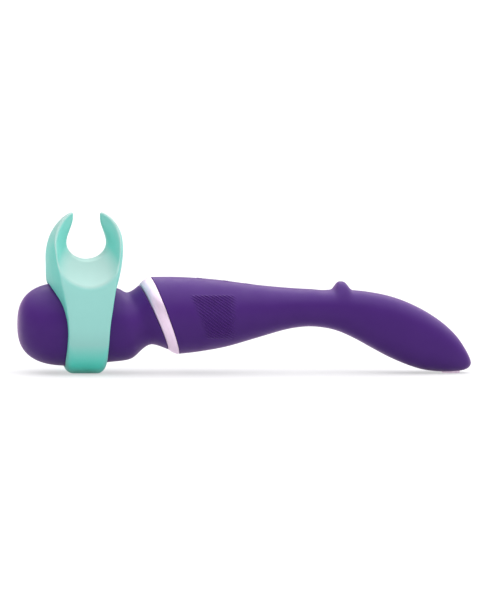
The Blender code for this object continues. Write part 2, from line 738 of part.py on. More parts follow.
def make_motor(head, rotor):
    axis = (MOTOR_FRONT_X, 0, HEAD_AXIS_Z)
    length = MOTOR_BACK_X - MOTOR_FRONT_X
    seat = 5.3
    can = [
        (0.0, seat), (0.0, MOTOR_RADIUS - 1.0), (1.0, MOTOR_RADIUS), (length, MOTOR_RADIUS),
        (length, MOTOR_RADIUS - 1.4), (2.4, MOTOR_RADIUS - 1.4), (2.4, seat),
    ]
    add("motor_can", turned(axis, (1, 0, 0), can), "steel", head)
    bearing = [(0.0, 1.6), (0.0, 5.0), (2.4, 5.0), (2.4, 1.6)]
    add("front_bearing", turned(axis, (1, 0, 0), bearing), "steel", head)
    cap = [
        (length + CLEARANCE, 1.6), (length + CLEARANCE, MOTOR_RADIUS),
        (length + 2.4, MOTOR_RADIUS - 0.6), (length + 2.4, 1.6),
    ]
    add("motor_end_cap", turned(axis, (1, 0, 0), cap), "dark_plastic", head)
    for word, x in (("front", -130.5), ("rear", -112.5)):
        bore = MOTOR_RADIUS + CLEARANCE
        rubber = [(0.0, bore), (0.0, RUBBER_RADIUS), (RUBBER_WIDTH, RUBBER_RADIUS), (RUBBER_WIDTH, bore)]
        bm = turned((x, 0, HEAD_AXIS_Z), (1, 0, 0), rubber)
        add(f"motor_mount_{word}", bm, "seal_rubber", head)
    shaft = [
        (-17.0, SHAFT_RADIUS), (4.0, SHAFT_RADIUS), (4.0, 11.0), (length - 4.0, 11.0),
        (length - 4.0, SHAFT_RADIUS), (length + 1.6, SHAFT_RADIUS),
    ]
    add("motor_rotor", turned_solid(axis, (1, 0, 0), shaft), "copper", rotor)
    weight = add("eccentric_weight", make_weight(), "steel", rotor)
    bore = rod((-152.0, 0, HEAD_AXIS_Z), (-138.0, 0, HEAD_AXIS_Z), SHAFT_RADIUS + CLEARANCE, 16)
    boolean(weight, bore, "weight_bore")


def make_weight():
    """A half disc with a hub round the shaft."""
    outline = []
    for a in spread(math.pi, 2 * math.pi, 15):
        outline.append((WEIGHT_RADIUS * math.cos(a), WEIGHT_RADIUS * math.sin(a)))
    for a in spread(0.0, math.pi, 9):
        outline.append((4.2 * math.cos(a), 4.2 * math.sin(a) + 1.0))
    rings = []
    for x in (-150.0, -140.0):
        rings.append([Vector((x, y, HEAD_AXIS_Z + z)) for y, z in outline])
    return loft(rings)


# --------------------------------------------------------------------------------------- attachment
# (height, half width towards the head's tip and towards the neck in the middle of its depth, the same
# two at the front and back faces, half depth)
FORK_LEVELS = [
    (34.2, 15.5, 15.5, 13.7, 15.0, 34.8),
    (48.0, 20.0, 17.6, 15.4, 16.8, 34.8),
    (58.0, 25.2, 19.9, 17.3, 18.2, 34.5),
    (65.0, 26.8, 22.8, 19.3, 19.3, 34.1),
    (75.0, 27.2, 25.2, 20.8, 20.6, 32.6),
    (84.0, 27.3, 26.2, 21.9, 22.0, 28.8),
    (92.0, 25.9, 26.0, 22.6, 23.0, 23.6),
    (99.0, 23.2, 24.6, 21.0, 22.4, 17.4),
    (105.0, 19.2, 21.4, 18.0, 20.2, 12.0),
    (109.5, 14.8, 17.4, 14.0, 16.2, 8.0),
    (112.2, 10.6, 13.2, 10.3, 12.5, 5.4),
    (113.2, 8.8, 10.8, 8.6, 10.4, 4.0),
]
BAND_WIDTHS = (15.0, 15.0, 13.4, 14.2)
BAND_HEIGHTS = (0.0, 0.9, 3.0, 7.0, 13.0, 21.0)
# (half width, height) up one side of the notch where it is narrowest
NOTCH_SIDE = [
    (0.0, 80.0), (4.8, 80.4), (9.0, 82.0), (12.1, 85.0), (13.8, 89.2), (13.9, 92.6),
    (13.0, 96.8), (11.4, 101.0), (10.1, 105.0), (9.5, 109.0), (9.3, 113.0), (9.3, 120.0),
]
NOTCH_CENTRE_X = -115.0
NOTCH_HALF = 13.9
NOTCH_FLARE = 1.8
NOTCH_REACH = 1.15
NOTCH_OVERCUT = 0.6
NOTCH_DEPTHS = (6.0, 12.0, 20.0, 27.0, 33.0, 38.0)
TIP_EDGE, NECK_EDGE, DEPTH = 2, 3, 4
SCOOP_DEPTH = 18.0
FORK_AT = smooth_curve(FORK_LEVELS)


def fork_outline(z, tip_side, neck_side, tip_edge, neck_edge, depth, steps=6):
    """A horizontal cross-section: widest in the middle of its depth, narrower at front and back."""
    rows = spread(-depth, depth, 2 * steps + 1)
    neck = [(neck_side - (neck_side - neck_edge) * (y / depth) ** 2, y) for y in rows]
    tip = [(-tip_side + (tip_side - tip_edge) * (y / depth) ** 2, y) for y in reversed(rows)]
    return [Vector((BAND_CENTRE_X + w, y, z)) for w, y in neck + tip]


def band_depth(z):
    return math.sqrt(BAND_RADIUS**2 - (z - HEAD_AXIS_Z) ** 2)


def notch_ring(y):
    """The notch's cross-section at a depth y: wider and deeper towards the front and back."""
    sides = []
    for direction, column in ((1, NECK_EDGE), (-1, TIP_EDGE)):
        side = []
        for half_width, z in NOTCH_SIDE:
            height = min(z, FORK_TOP_Z)
            share = min(abs(y) / FORK_AT(height)[DEPTH], NOTCH_REACH) ** NOTCH_FLARE
            drop = SCOOP_DEPTH * share * (FORK_TOP_Z - height) / (FORK_TOP_Z - NOTCH_FLOOR_Z)
            edge = FORK_AT(min(z - drop, FORK_TOP_Z))[column] + NOTCH_OVERCUT
            wide = min(half_width / NOTCH_HALF, 1.0) * edge
            grown = half_width + max(wide - half_width, 0.0) * share
            side.append((direction * grown, z - drop))
        sides.append(side)
    loop = sides[0] + list(reversed(sides[1][1:]))
    return [Vector((NOTCH_CENTRE_X + w, y, z)) for w, z in loop]


def make_attachment(slide):
    levels = []
    for z in BAND_HEIGHTS:
        levels.append(fork_outline(z, *BAND_WIDTHS, band_depth(z)))
    for row in FORK_LEVELS:
        levels.append(fork_outline(*row))
    fork = add("fork_attachment", loft(levels), "mint_silicone", slide)
    low, high = BAND_CENTRE_X - 40, BAND_CENTRE_X + 40
    bore = rod((low, 0, HEAD_AXIS_Z), (high, 0, HEAD_AXIS_Z), BORE_RADIUS, 48)
    boolean(fork, bore, "band_bore")
    depths = [-y for y in reversed(NOTCH_DEPTHS)] + [0.0] + list(NOTCH_DEPTHS)
    boolean(fork, loft([notch_ring(y) for y in depths]), "notch")


# --------------------------------------------------------------------------------------------- build
def build():
    clear_scene()
    neck_middle = pivot("neck_pitch_axis", NECK_PIVOT)
    head = pivot("neck_yaw_axis", NECK_PIVOT, neck_middle)
    rotor = pivot("rotor_axis", (MOTOR_FRONT_X, 0, HEAD_AXIS_Z), head)
    slide = pivot("attachment_slide", (BAND_CENTRE_X, 0, HEAD_AXIS_Z), head)
    make_handle_cover()
    make_trim_ring()
    make_handle_shells()
    make_screws()
    make_buttons()
    make_electronics()
    make_charging_end()
    make_neck_sleeve(neck_middle)
    make_neck_parts(neck_middle, head)
    make_head_cover(head)
    make_head_shells(head)
    make_motor(head, rotor)
    make_attachment(slide)


build()
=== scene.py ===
"""Looks of a handheld wand massager with a slip-on forked attachment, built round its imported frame.

Shapes are worked out in millimetres in the frame's own axes (X along the wand, Z up, Y = 0 the plane of
symmetry) and become meshes in metres. The frame gives the places of the head, the attachment, the
buttons, the light pipe and the charging plate. The cross-sections that the outer surfaces are lofted
through, and the paths of the spring and the lead, are tables here that repeat the CAD's own.
"""

import itertools
import json
import math

import bmesh
import bpy
import numpy as np
from mathutils import Matrix, Vector
from mathutils.bvhtree import BVHTree


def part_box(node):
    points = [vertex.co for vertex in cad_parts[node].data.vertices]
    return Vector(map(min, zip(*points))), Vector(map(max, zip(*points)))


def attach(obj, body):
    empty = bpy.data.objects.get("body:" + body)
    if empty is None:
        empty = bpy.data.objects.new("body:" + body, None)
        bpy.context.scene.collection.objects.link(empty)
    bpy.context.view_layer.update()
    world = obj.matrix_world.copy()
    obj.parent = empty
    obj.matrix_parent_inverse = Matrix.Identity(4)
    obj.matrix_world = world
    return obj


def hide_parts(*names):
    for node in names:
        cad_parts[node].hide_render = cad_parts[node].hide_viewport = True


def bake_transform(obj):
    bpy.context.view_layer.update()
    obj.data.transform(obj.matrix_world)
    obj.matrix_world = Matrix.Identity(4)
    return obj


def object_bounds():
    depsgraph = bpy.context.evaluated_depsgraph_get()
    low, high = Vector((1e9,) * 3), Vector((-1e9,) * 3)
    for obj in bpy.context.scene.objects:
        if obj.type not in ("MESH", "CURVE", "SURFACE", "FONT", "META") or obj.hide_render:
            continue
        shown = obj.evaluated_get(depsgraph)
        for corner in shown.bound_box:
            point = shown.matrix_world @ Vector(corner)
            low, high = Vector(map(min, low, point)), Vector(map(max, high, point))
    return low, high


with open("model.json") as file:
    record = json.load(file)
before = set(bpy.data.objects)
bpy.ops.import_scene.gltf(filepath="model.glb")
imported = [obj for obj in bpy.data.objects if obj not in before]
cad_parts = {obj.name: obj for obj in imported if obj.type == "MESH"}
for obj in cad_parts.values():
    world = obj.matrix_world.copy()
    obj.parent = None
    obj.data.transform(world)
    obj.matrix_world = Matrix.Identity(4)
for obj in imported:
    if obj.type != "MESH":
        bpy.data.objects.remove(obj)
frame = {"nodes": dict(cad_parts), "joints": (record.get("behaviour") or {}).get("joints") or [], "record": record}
CAD_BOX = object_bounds()

MM = 0.001


# ------------------------------------------------------------------------------------- frame places
def node_box(node):
    """Lowest and highest corner of a frame node, in millimetres."""
    low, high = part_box(node)
    return np.array(low) / MM, np.array(high) / MM


def joint_axis(name):
    """A joint's direction in the frame's axes."""
    found = next(j for j in frame["joints"] if j["name"] == name)
    return np.array(found["axis"], float) / np.linalg.norm(found["axis"])


HEAD_LOW, HEAD_HIGH = node_box("head_cover")
FORK_LOW, FORK_HIGH = node_box("fork_attachment")
CAN_LOW, CAN_HIGH = node_box("motor_can")
PLATE_LOW, PLATE_HIGH = node_box("charge_plate")

HEAD_AXIS_Z = (CAN_LOW[2] + CAN_HIGH[2]) / 2
HEAD_RADIUS = (HEAD_HIGH[1] - HEAD_LOW[1]) / 2
HEAD_TIP_X = HEAD_LOW[0]
PRESS_AXIS = joint_axis("power_press")

# ----------------------------------------------------------------------- the wand's cross-sections
HEAD_FULL_X = -124.0
HEAD_BACK_X = -100.0
HEAD_TAPER = 0.004
DOME_POWER = 2.7
SKIN = 2.0
EDGE_GAP = 0.3
EDGE_ROUND = 0.55

# A station is (top x, top z, bottom x, bottom z, half width, squareness) of one cross-section.
NECK_STATIONS = [
    (-100.0, 61.1, -100.0, 7.3, 26.9, 2.0),
    (-91.4, 59.0, -81.8, 10.0, 25.2, 2.0),
    (-89.0, 57.6, -76.8, 15.1, 22.9, 2.0),
    (-86.0, 56.3, -69.8, 20.1, 20.5, 2.0),
    (-81.6, 58.2, -62.8, 18.8, 21.8, 2.0),
    (-77.2, 61.8, -56.4, 16.3, 24.4, 2.0),
]
HANDLE_STATIONS = [
    (-69.6, 67.4, -49.0, 13.3, 27.6, 2.0),
    (-50.0, 67.5, -36.0, 14.8, 26.8, 2.05),
    (-24.0, 65.9, -16.0, 18.4, 24.4, 2.1),
    (6.0, 62.2, 8.0, 25.3, 20.4, 2.15),
    (30.0, 60.1, 29.0, 31.2, 17.4, 2.2),
    (46.0, 59.4, 45.0, 32.9, 16.3, 2.25),
    (66.0, 59.2, 62.0, 30.5, 16.4, 2.35),
    (86.0, 57.6, 77.0, 24.3, 17.6, 2.6),
    (105.0, 53.7, 90.0, 17.3, 18.6, 2.8),
    (123.0, 46.4, 106.0, 9.3, 18.8, 2.8),
    (139.0, 36.6, 125.0, 2.6, 17.6, 2.65),
    (150.5, 26.2, 142.6, 0.8, 14.6, 2.45),
    (157.9, 15.6, 155.2, 1.7, 9.8, 2.25),
    (161.0, 9.6, 160.0, 3.6, 4.8, 2.0),
    (161.6, 6.7, 161.6, 6.7, 0.0, 2.0),
]

SLEEVE_START = -134.0
SEAM_S = -78.0
NOSE_START = 147.0
NOSE_LENGTH = 14.6
SAMPLE = 0.2
SLEEVE_BLUR = 1.6
HANDLE_BLUR = 2.2

THUMB_STOP_X = 66.6
THUMB_STOP_HEIGHT = 5.8
THUMB_STOP_FRONT = (4.8, 3.4)
THUMB_STOP_BACK = (5.1, 2.9)
THUMB_STOP_WRAP = 3.0
THUMB_REST_X = 54.0
THUMB_REST_LENGTH = 6.5
THUMB_REST_DEPTH = 0.7

# The ridged patch on the handle's side: its left edge leans, from one (x, z) to the other.
GRIP_LEFT = ((-45.5, 56.0), (-33.5, 26.5))
GRIP_RIGHT_X = -13.0
GRIP_TOP_Z = 56.0
GRIP_BOTTOM_Z = 26.0
GRIP_FADE = 4.0
GRIP_EDGE_FADE = 0.8
GRIP_PITCH = 1.78
GRIP_SLANT = math.radians(34)
GRIP_HEIGHT = 0.85
GRIP_NARROWING = 1.6
GRIP_HALF_ANGLE = math.radians(43)
GRIP_START_X = -49.0
GRIP_END_X = -7.0


def centre_x(station):
    return (station[0] + station[2]) / 2


def hermite(keys, s):
    """Values at s of the smooth curve through rows (s, v, v, ...)."""
    keys = np.array(keys, float)
    at, values = keys[:, 0], keys[:, 1:]
    before = np.maximum(np.arange(len(at)) - 1, 0)
    after = np.minimum(np.arange(len(at)) + 1, len(at) - 1)
    slopes = (values[after] - values[before]) / (at[after] - at[before])[:, None]
    i = np.clip(np.searchsorted(at, s, side="right") - 1, 0, len(at) - 2)
    span = (at[i + 1] - at[i])[:, None]
    t = (np.asarray(s)[:, None] - at[i][:, None]) / span
    low, high = values[i], values[i + 1]
    start, end = slopes[i] * span, slopes[i + 1] * span
    return (
        (1 + 2 * t) * (1 - t) ** 2 * low + t * (1 - t) ** 2 * start
        + t * t * (3 - 2 * t) * high + t * t * (t - 1) * end
    )


def blurred(table, width):
    """Smooth a table of evenly spaced rows, carrying its slope on past both ends."""
    reach = int(math.ceil(3 * width))
    weights = np.exp(-0.5 * (np.arange(-reach, reach + 1) / width) ** 2)
    weights /= weights.sum()
    before = table[0] + (table[0] - table[1]) * np.arange(reach, 0, -1)[:, None]
    after = table[-1] + (table[-1] - table[-2]) * np.arange(1, reach + 1)[:, None]
    padded = np.vstack([before, table, after])
    columns = [np.convolve(padded[:, c], weights, mode="valid") for c in range(table.shape[1])]
    return np.stack(columns, axis=1)


def reader(low, high, sample_at, blur):
    """A function that reads a smoothed table of sample_at(s) between low and high."""
    stops = np.linspace(low, high, int((high - low) / SAMPLE) + 1)
    table = blurred(sample_at(stops), blur / SAMPLE)

    def read(s):
        s = np.asarray(s, float)
        return np.stack([np.interp(s, stops, table[:, c]) for c in range(table.shape[1])], axis=1)

    return read


def head_radius(x):
    """The head's radius behind its dome."""
    return HEAD_RADIUS - HEAD_TAPER * np.maximum(x - HEAD_FULL_X, 0) ** 2


def sleeve_rows(s):
    """The silicone sleeve's stations from the dome's full width to the trim ring."""
    radius = head_radius(s)
    round_part = np.stack([
        s, HEAD_AXIS_Z + radius, s, HEAD_AXIS_Z - radius, radius, np.full_like(s, 2.0)
    ], axis=1)
    neck = hermite([(centre_x(row), *row) for row in NECK_STATIONS], s)
    return np.where((s < HEAD_BACK_X)[:, None], round_part, neck)


def nose_u(s):
    """A station's place along the handle, stretched at the nose so that it closes round."""
    if s < NOSE_START:
        return s
    return NOSE_START + NOSE_LENGTH * math.asin(min((s - NOSE_START) / NOSE_LENGTH, 1.0))


RING_FRONT_S = centre_x(NECK_STATIONS[-1])
RING_BACK_S = centre_x(HANDLE_STATIONS[0])
TAIL_U = nose_u(centre_x(HANDLE_STATIONS[-1]))
SLEEVE_AT = reader(SLEEVE_START, RING_FRONT_S, sleeve_rows, SLEEVE_BLUR)
HANDLE_KEYS = [(nose_u(centre_x(row)), *row) for row in HANDLE_STATIONS]
# Beyond its tip the nose turns back on itself, so that it closes round and not in a point.
HANDLE_KEYS += [
    (2 * TAIL_U - u, bottom_x, bottom_z, top_x, top_z, -half, square)
    for u, top_x, top_z, bottom_x, bottom_z, half, square in HANDLE_KEYS[-4:-1][::-1]
]
HANDLE_AT = reader(RING_BACK_S, TAIL_U, lambda u: hermite(HANDLE_KEYS, u), HANDLE_BLUR)


def signed_power(value, power):
    return np.sign(value) * np.abs(value) ** power


def section_points(rows, angles, inset=0.0):
    """Outline points of each station at each angle: 0 is +Y and 90 degrees is the top."""
    rows = np.asarray(rows, float)
    inset = np.broadcast_to(np.asarray(inset, float), len(rows))[:, None]
    top = np.stack([rows[:, 0], np.zeros(len(rows)), rows[:, 1]], axis=1)
    bottom = np.stack([rows[:, 2], np.zeros(len(rows)), rows[:, 3]], axis=1)
    length = np.linalg.norm(top - bottom, axis=1)[:, None]
    up = (top - bottom) / np.maximum(length, 1e-9)
    power = 2 / rows[:, 5][:, None]
    across = np.maximum(rows[:, 4][:, None] - inset, 0) * signed_power(np.cos(angles)[None, :], power)
    along = np.maximum(length / 2 - inset, 0) * signed_power(np.sin(angles)[None, :], power)
    points = ((top + bottom) / 2)[:, None, :] + up[:, None, :] * along[:, :, None]
    points[:, :, 1] += across
    return points


# ------------------------------------------------------------------------------------ mesh building
SHARP = 40.0
SOFT = 60.0
ROUND_STEPS = 6


def even_angles(count):
    return np.arange(count) * 2 * math.pi / count


def make_object(name, points, faces, sharp_degrees=SHARP):
    """A smooth-shaded object from points in millimetres, with its faces pointing out."""
    bm = bmesh.new()
    vertices = [bm.verts.new(p) for p in (np.asarray(points, float) * MM).tolist()]
    for face in faces:
        bm.faces.new([vertices[i] for i in face])
    bmesh.ops.recalc_face_normals(bm, faces=bm.faces)
    mesh = bpy.data.meshes.new(name)
    bm.to_mesh(mesh)
    bm.free()
    mesh.shade_smooth()
    mesh.set_sharp_from_angle(angle=math.radians(sharp_degrees))
    made = bpy.data.objects.new(name, mesh)
    bpy.context.scene.collection.objects.link(made)
    return made


def ring_join(first, second, around):
    """Quads between two rings whose points start at the given indices."""
    return [
        (first + i, first + (i + 1) % around, second + (i + 1) % around, second + i)
        for i in range(around)
    ]


def loft_faces(first_index, rings, around):
    """Quads between neighbouring rings of a loft whose points start at first_index."""
    faces = []
    for r in range(rings - 1):
        low = first_index + r * around
        faces += ring_join(low, low + around, around)
    return faces


def fan_faces(ring_start, around, tip):
    return [(ring_start + i, ring_start + (i + 1) % around, tip) for i in range(around)]


def wall(name, outer, inner, outer_tip=None, inner_tip=None, sharp_degrees=SHARP):
    """A closed wall between two lofts (arrays of rings). Their first rings close on tips, if given."""
    around = outer.shape[1]
    points = np.vstack([outer.reshape(-1, 3), inner.reshape(-1, 3)])
    inner_start = outer.shape[0] * around
    faces = loft_faces(0, outer.shape[0], around) + loft_faces(inner_start, inner.shape[0], around)
    faces += ring_join(inner_start - around, inner_start + (inner.shape[0] - 1) * around, around)
    if outer_tip is None:
        faces += ring_join(0, inner_start, around)
    else:
        points = np.vstack([points, [outer_tip], [inner_tip]])
        faces += fan_faces(0, around, len(points) - 2)
        faces += fan_faces(inner_start, around, len(points) - 1)
    return make_object(name, points, faces, sharp_degrees)


def closed_loft(name, rings, sharp_degrees=SHARP):
    """A body through rings of points, with both ends closed on their middles."""
    rings = np.asarray(rings)
    count, around = rings.shape[:2]
    points = np.vstack([rings.reshape(-1, 3), [rings[0].mean(axis=0), rings[-1].mean(axis=0)]])
    faces = loft_faces(0, count, around)
    faces += fan_faces(0, around, len(points) - 2)
    faces += fan_faces((count - 1) * around, around, len(points) - 1)
    return make_object(name, points, faces, sharp_degrees)


def quarter_round(radius, steps=ROUND_STEPS):
    """A rounded corner as distances back from the end face and in from the side face."""
    turn = np.linspace(0, math.pi / 2, steps)
    return radius * (1 - np.cos(turn)), radius * (1 - np.sin(turn))


def cut(target, cutters, sharp_degrees=SHARP):
    """Subtract closed cutters that don't touch each other from a closed target, and remove them."""
    bm = bmesh.new()
    for cutter in cutters:
        bm.from_mesh(cutter.data)
        bpy.data.objects.remove(cutter)
    joined = bpy.data.meshes.new("cutter")
    bm.to_mesh(joined)
    bm.free()
    plug = bpy.data.objects.new("cutter", joined)
    bpy.context.scene.collection.objects.link(plug)
    change = target.modifiers.new("cut", "BOOLEAN")
    change.operation = "DIFFERENCE"
    change.solver = "EXACT"
    change.object = plug
    shape = bpy.data.meshes.new_from_object(target.evaluated_get(bpy.context.evaluated_depsgraph_get()))
    target.modifiers.clear()
    target.data = shape
    bpy.data.objects.remove(plug)
    shape.shade_smooth()
    shape.set_sharp_from_angle(angle=math.radians(sharp_degrees))
    return target


# ------------------------------------------------------------------------------ procedural finishes
# Nearly all of a noise pattern's values lie between these two.
PATTERN_LOW = 0.3
PATTERN_HIGH = 0.7
# How far a surface faces sideways, up or down where a facing tone starts and where it is full. These tones are
# painted shade on flanks and undersides and painted light on upward faces.
FLANK_FACING = (0.35, 0.95)
TOP_FACING = (0.15, 0.7)
UNDER_FACING = (-0.35, -0.8)
SHEEN_ROUGHNESS = 0.35


def fill(tree, node, inputs):
    """Set a node's inputs to values, or link them to the outputs of other nodes."""
    for key, value in inputs.items():
        if isinstance(value, bpy.types.NodeSocket):
            tree.links.new(value, node.inputs[key])
        else:
            node.inputs[key].default_value = value
    return node


def add_node(tree, kind, inputs, **settings):
    made = tree.nodes.new(f"ShaderNode{kind}")
    for key, value in settings.items():
        setattr(made, key, value)
    return fill(tree, made, inputs)


def finish_nodes(name, colour, roughness, metallic=0.0):
    """A new node material and its Principled shader."""
    made = bpy.data.materials.new(name)
    made.use_nodes = True
    tree = made.node_tree
    shader = fill(tree, tree.nodes["Principled BSDF"], {
        "Base Color": (*colour, 1.0), "Roughness": roughness, "Metallic": metallic})
    return made, tree, shader


def place_nodes(tree, scale=(1.0, 1.0, 1.0), turn=(0.0, 0.0, 0.0)):
    """The piece's own coordinates, turned and stretched."""
    source = add_node(tree, "TexCoord", {})
    return add_node(tree, "Mapping", {
        "Vector": source.outputs["Object"], "Rotation": turn, "Scale": [1 / s for s in scale],
    }, vector_type="TEXTURE").outputs["Vector"]


def noise(tree, place, scale, detail=3.0, rough=0.5):
    """A cloudy pattern whose cells are about 1 / scale metres."""
    return add_node(tree, "TexNoise", {
        "Vector": place, "Scale": scale, "Detail": detail, "Roughness": rough}).outputs["Fac"]


def ramp(tree, value, stops):
    """Colours at places along a pattern's value."""
    made = add_node(tree, "ValToRGB", {"Fac": value})
    while len(made.color_ramp.elements) < len(stops):
        made.color_ramp.elements.new(0.5)
    for element, (place, colour) in zip(made.color_ramp.elements, stops):
        element.position = place
        element.color = (*colour, 1.0)
    return made.outputs["Color"]


def two_tone(tree, pattern, deep, light):
    return ramp(tree, pattern, [(PATTERN_LOW, deep), (PATTERN_HIGH, light)])


def spread_value(tree, value, low=0.0, high=1.0, start=PATTERN_LOW, end=PATTERN_HIGH):
    """Numbers that go from low to high as a value goes from start to end."""
    return add_node(tree, "MapRange", {
        "Value": value, "From Min": start, "From Max": end, "To Min": low, "To Max": high,
    }).outputs["Result"]


def bump(tree, height, distance, strength=1.0, under=None):
    inputs = {"Height": height, "Distance": distance, "Strength": strength}
    if under is not None:
        inputs["Normal"] = under
    return add_node(tree, "Bump", inputs).outputs["Normal"]


def mixed(tree, share, first, second):
    """One colour output turning into another colour as the share goes from 0 to 1."""
    # 0, 6 and 7 are the mix node's factor and its two colours, and output 2 is the mixed colour.
    inputs = {0: share, 6: first, 7: (*second, 1.0)}
    return add_node(tree, "Mix", inputs, data_type="RGBA").outputs[2]


def painted_light_by_facing(tree, tone, flank, top, under):
    """Painted light and shade by facing: a deeper painted shade on the flanks and the underside, a paler painted
    lit tone where the surface faces up.
    """
    source = add_node(tree, "TexCoord", {})
    facing = add_node(tree, "SeparateXYZ", {"Vector": source.outputs["Normal"]})
    across = add_node(tree, "Math", {0: facing.outputs["X"]}, operation="ABSOLUTE")
    for value, (start, end), colour in (
        (across.outputs[0], FLANK_FACING, flank),
        (facing.outputs["Z"], TOP_FACING, top),
        (facing.outputs["Z"], UNDER_FACING, under),
    ):
        tone = mixed(tree, spread_value(tree, value, start=start, end=end), tone, colour)
    return tone


def silicone(name, deep, light, sheen_tint, sheen, roughness, gloss, painted_facing_light=None):
    """Velvety moulded silicone: cloudy tone, fine grain and a soft sheen at grazing angles."""
    made, tree, shader = finish_nodes(name, light, roughness)
    place = place_nodes(tree)
    tone = two_tone(tree, noise(tree, place, 38.0, detail=5.0, rough=0.6), deep, light)
    # If given, paint light and shade by facing: painted shade on the flanks and the underside, painted light on
    # upward faces.
    if painted_facing_light:
        tone = painted_light_by_facing(tree, tone, *painted_facing_light)
    smudges = noise(tree, place, 120.0, detail=4.0, rough=0.6)
    coarse = bump(tree, noise(tree, place, 700.0, detail=2.0), 0.00003, 0.35)
    fill(tree, shader, {
        "Base Color": tone,
        "Roughness": spread_value(tree, smudges, roughness - 0.05, roughness + 0.07),
        "Normal": bump(tree, noise(tree, place, 2600.0, detail=2.0), 0.00002, 0.5, coarse),
        "Sheen Weight": sheen,
        "Sheen Roughness": SHEEN_ROUGHNESS,
        "Sheen Tint": (*sheen_tint, 1.0),
        "Specular IOR Level": gloss,
    })
    return made


def brushed_metal(name, colour, dark, roughness, along=(0.0, 0.0, 0.0), stretch=(900.0, 26.0, 26.0)):
    """Plated metal with fine lines: stretched noise, finest along the first turned axis."""
    made, tree, shader = finish_nodes(name, colour, roughness, metallic=1.0)
    lines = noise(tree, place_nodes(tree, stretch, along), 1.0, detail=4.0, rough=0.6)
    clouds = noise(tree, place_nodes(tree), 90.0, detail=4.0, rough=0.6)
    fill(tree, shader, {
        "Base Color": two_tone(tree, clouds, dark, colour),
        "Roughness": spread_value(tree, lines, roughness * 0.75, roughness * 1.35),
        "Normal": bump(tree, lines, 0.00001, 0.35),
    })
    return made


def moulded_plastic(name, deep, light, roughness, grain_size=1500.0):
    """Injection-moulded plastic with a spark-eroded grain."""
    made, tree, shader = finish_nodes(name, light, roughness)
    place = place_nodes(tree)
    grain = noise(tree, place, grain_size, detail=3.0, rough=0.6)
    fill(tree, shader, {
        "Base Color": two_tone(tree, noise(tree, place, 60.0, detail=4.0), deep, light),
        "Roughness": spread_value(tree, grain, roughness - 0.06, roughness + 0.08),
        "Normal": bump(tree, grain, 0.00003, 0.4),
    })
    return made


def circuit_board(name):
    """Solder mask over copper: blocky traces a little lighter and raised."""
    made, tree, shader = finish_nodes(name, (0.02, 0.16, 0.07), 0.4)
    traces = add_node(tree, "TexVoronoi", {}, distance="MANHATTAN", feature="DISTANCE_TO_EDGE")
    fill(tree, traces, {"Vector": place_nodes(tree), "Scale": 420.0})
    lines = ramp(tree, traces.outputs["Distance"], [
        (0.03, (0.035, 0.26, 0.12)), (0.07, (0.015, 0.12, 0.05))])
    fill(tree, shader, {"Base Color": lines, "Normal": bump(tree, lines, 0.00003, 0.5)})
    return made


def wound_copper(name):
    """Enamelled wire in close turns along X, over the laminated core."""
    made, tree, shader = finish_nodes(name, (0.72, 0.42, 0.26), 0.32, metallic=1.0)
    turns = add_node(tree, "TexWave", {
        "Vector": place_nodes(tree), "Scale": 700.0, "Distortion": 0.4,
    }, bands_direction="X").outputs["Fac"]
    fill(tree, shader, {
        "Base Color": ramp(tree, turns, [(0.2, (0.35, 0.15, 0.07)), (0.8, (0.86, 0.5, 0.3))]),
        "Normal": bump(tree, turns, 0.0001, 0.6),
    })
    return made


def shrink_wrap(name):
    """Glossy heat-shrunk film with faint wrinkles along the cell."""
    made, tree, shader = finish_nodes(name, (0.05, 0.18, 0.42), 0.3)
    wrinkles = noise(tree, place_nodes(tree, (60.0, 420.0, 420.0)), 1.0, detail=4.0)
    fill(tree, shader, {
        "Base Color": ramp(tree, wrinkles, [(0.35, (0.04, 0.15, 0.36)), (0.65, (0.07, 0.22, 0.5))]),
        "Normal": bump(tree, wrinkles, 0.00008, 0.4),
        "Coat Weight": 0.4,
    })
    return made


def light_pipe(name):
    """Clear moulded plastic, faintly cloudy so that its light spreads."""
    made, tree, shader = finish_nodes(name, (0.85, 0.86, 0.88), 0.18)
    haze = noise(tree, place_nodes(tree), 900.0)
    fill(tree, shader, {
        "Base Color": two_tone(tree, haze, (0.72, 0.74, 0.78), (0.9, 0.91, 0.94)),
        "Roughness": spread_value(tree, haze, 0.1, 0.24),
        "Transmission Weight": 0.55,
        "IOR": 1.49,
    })
    return made


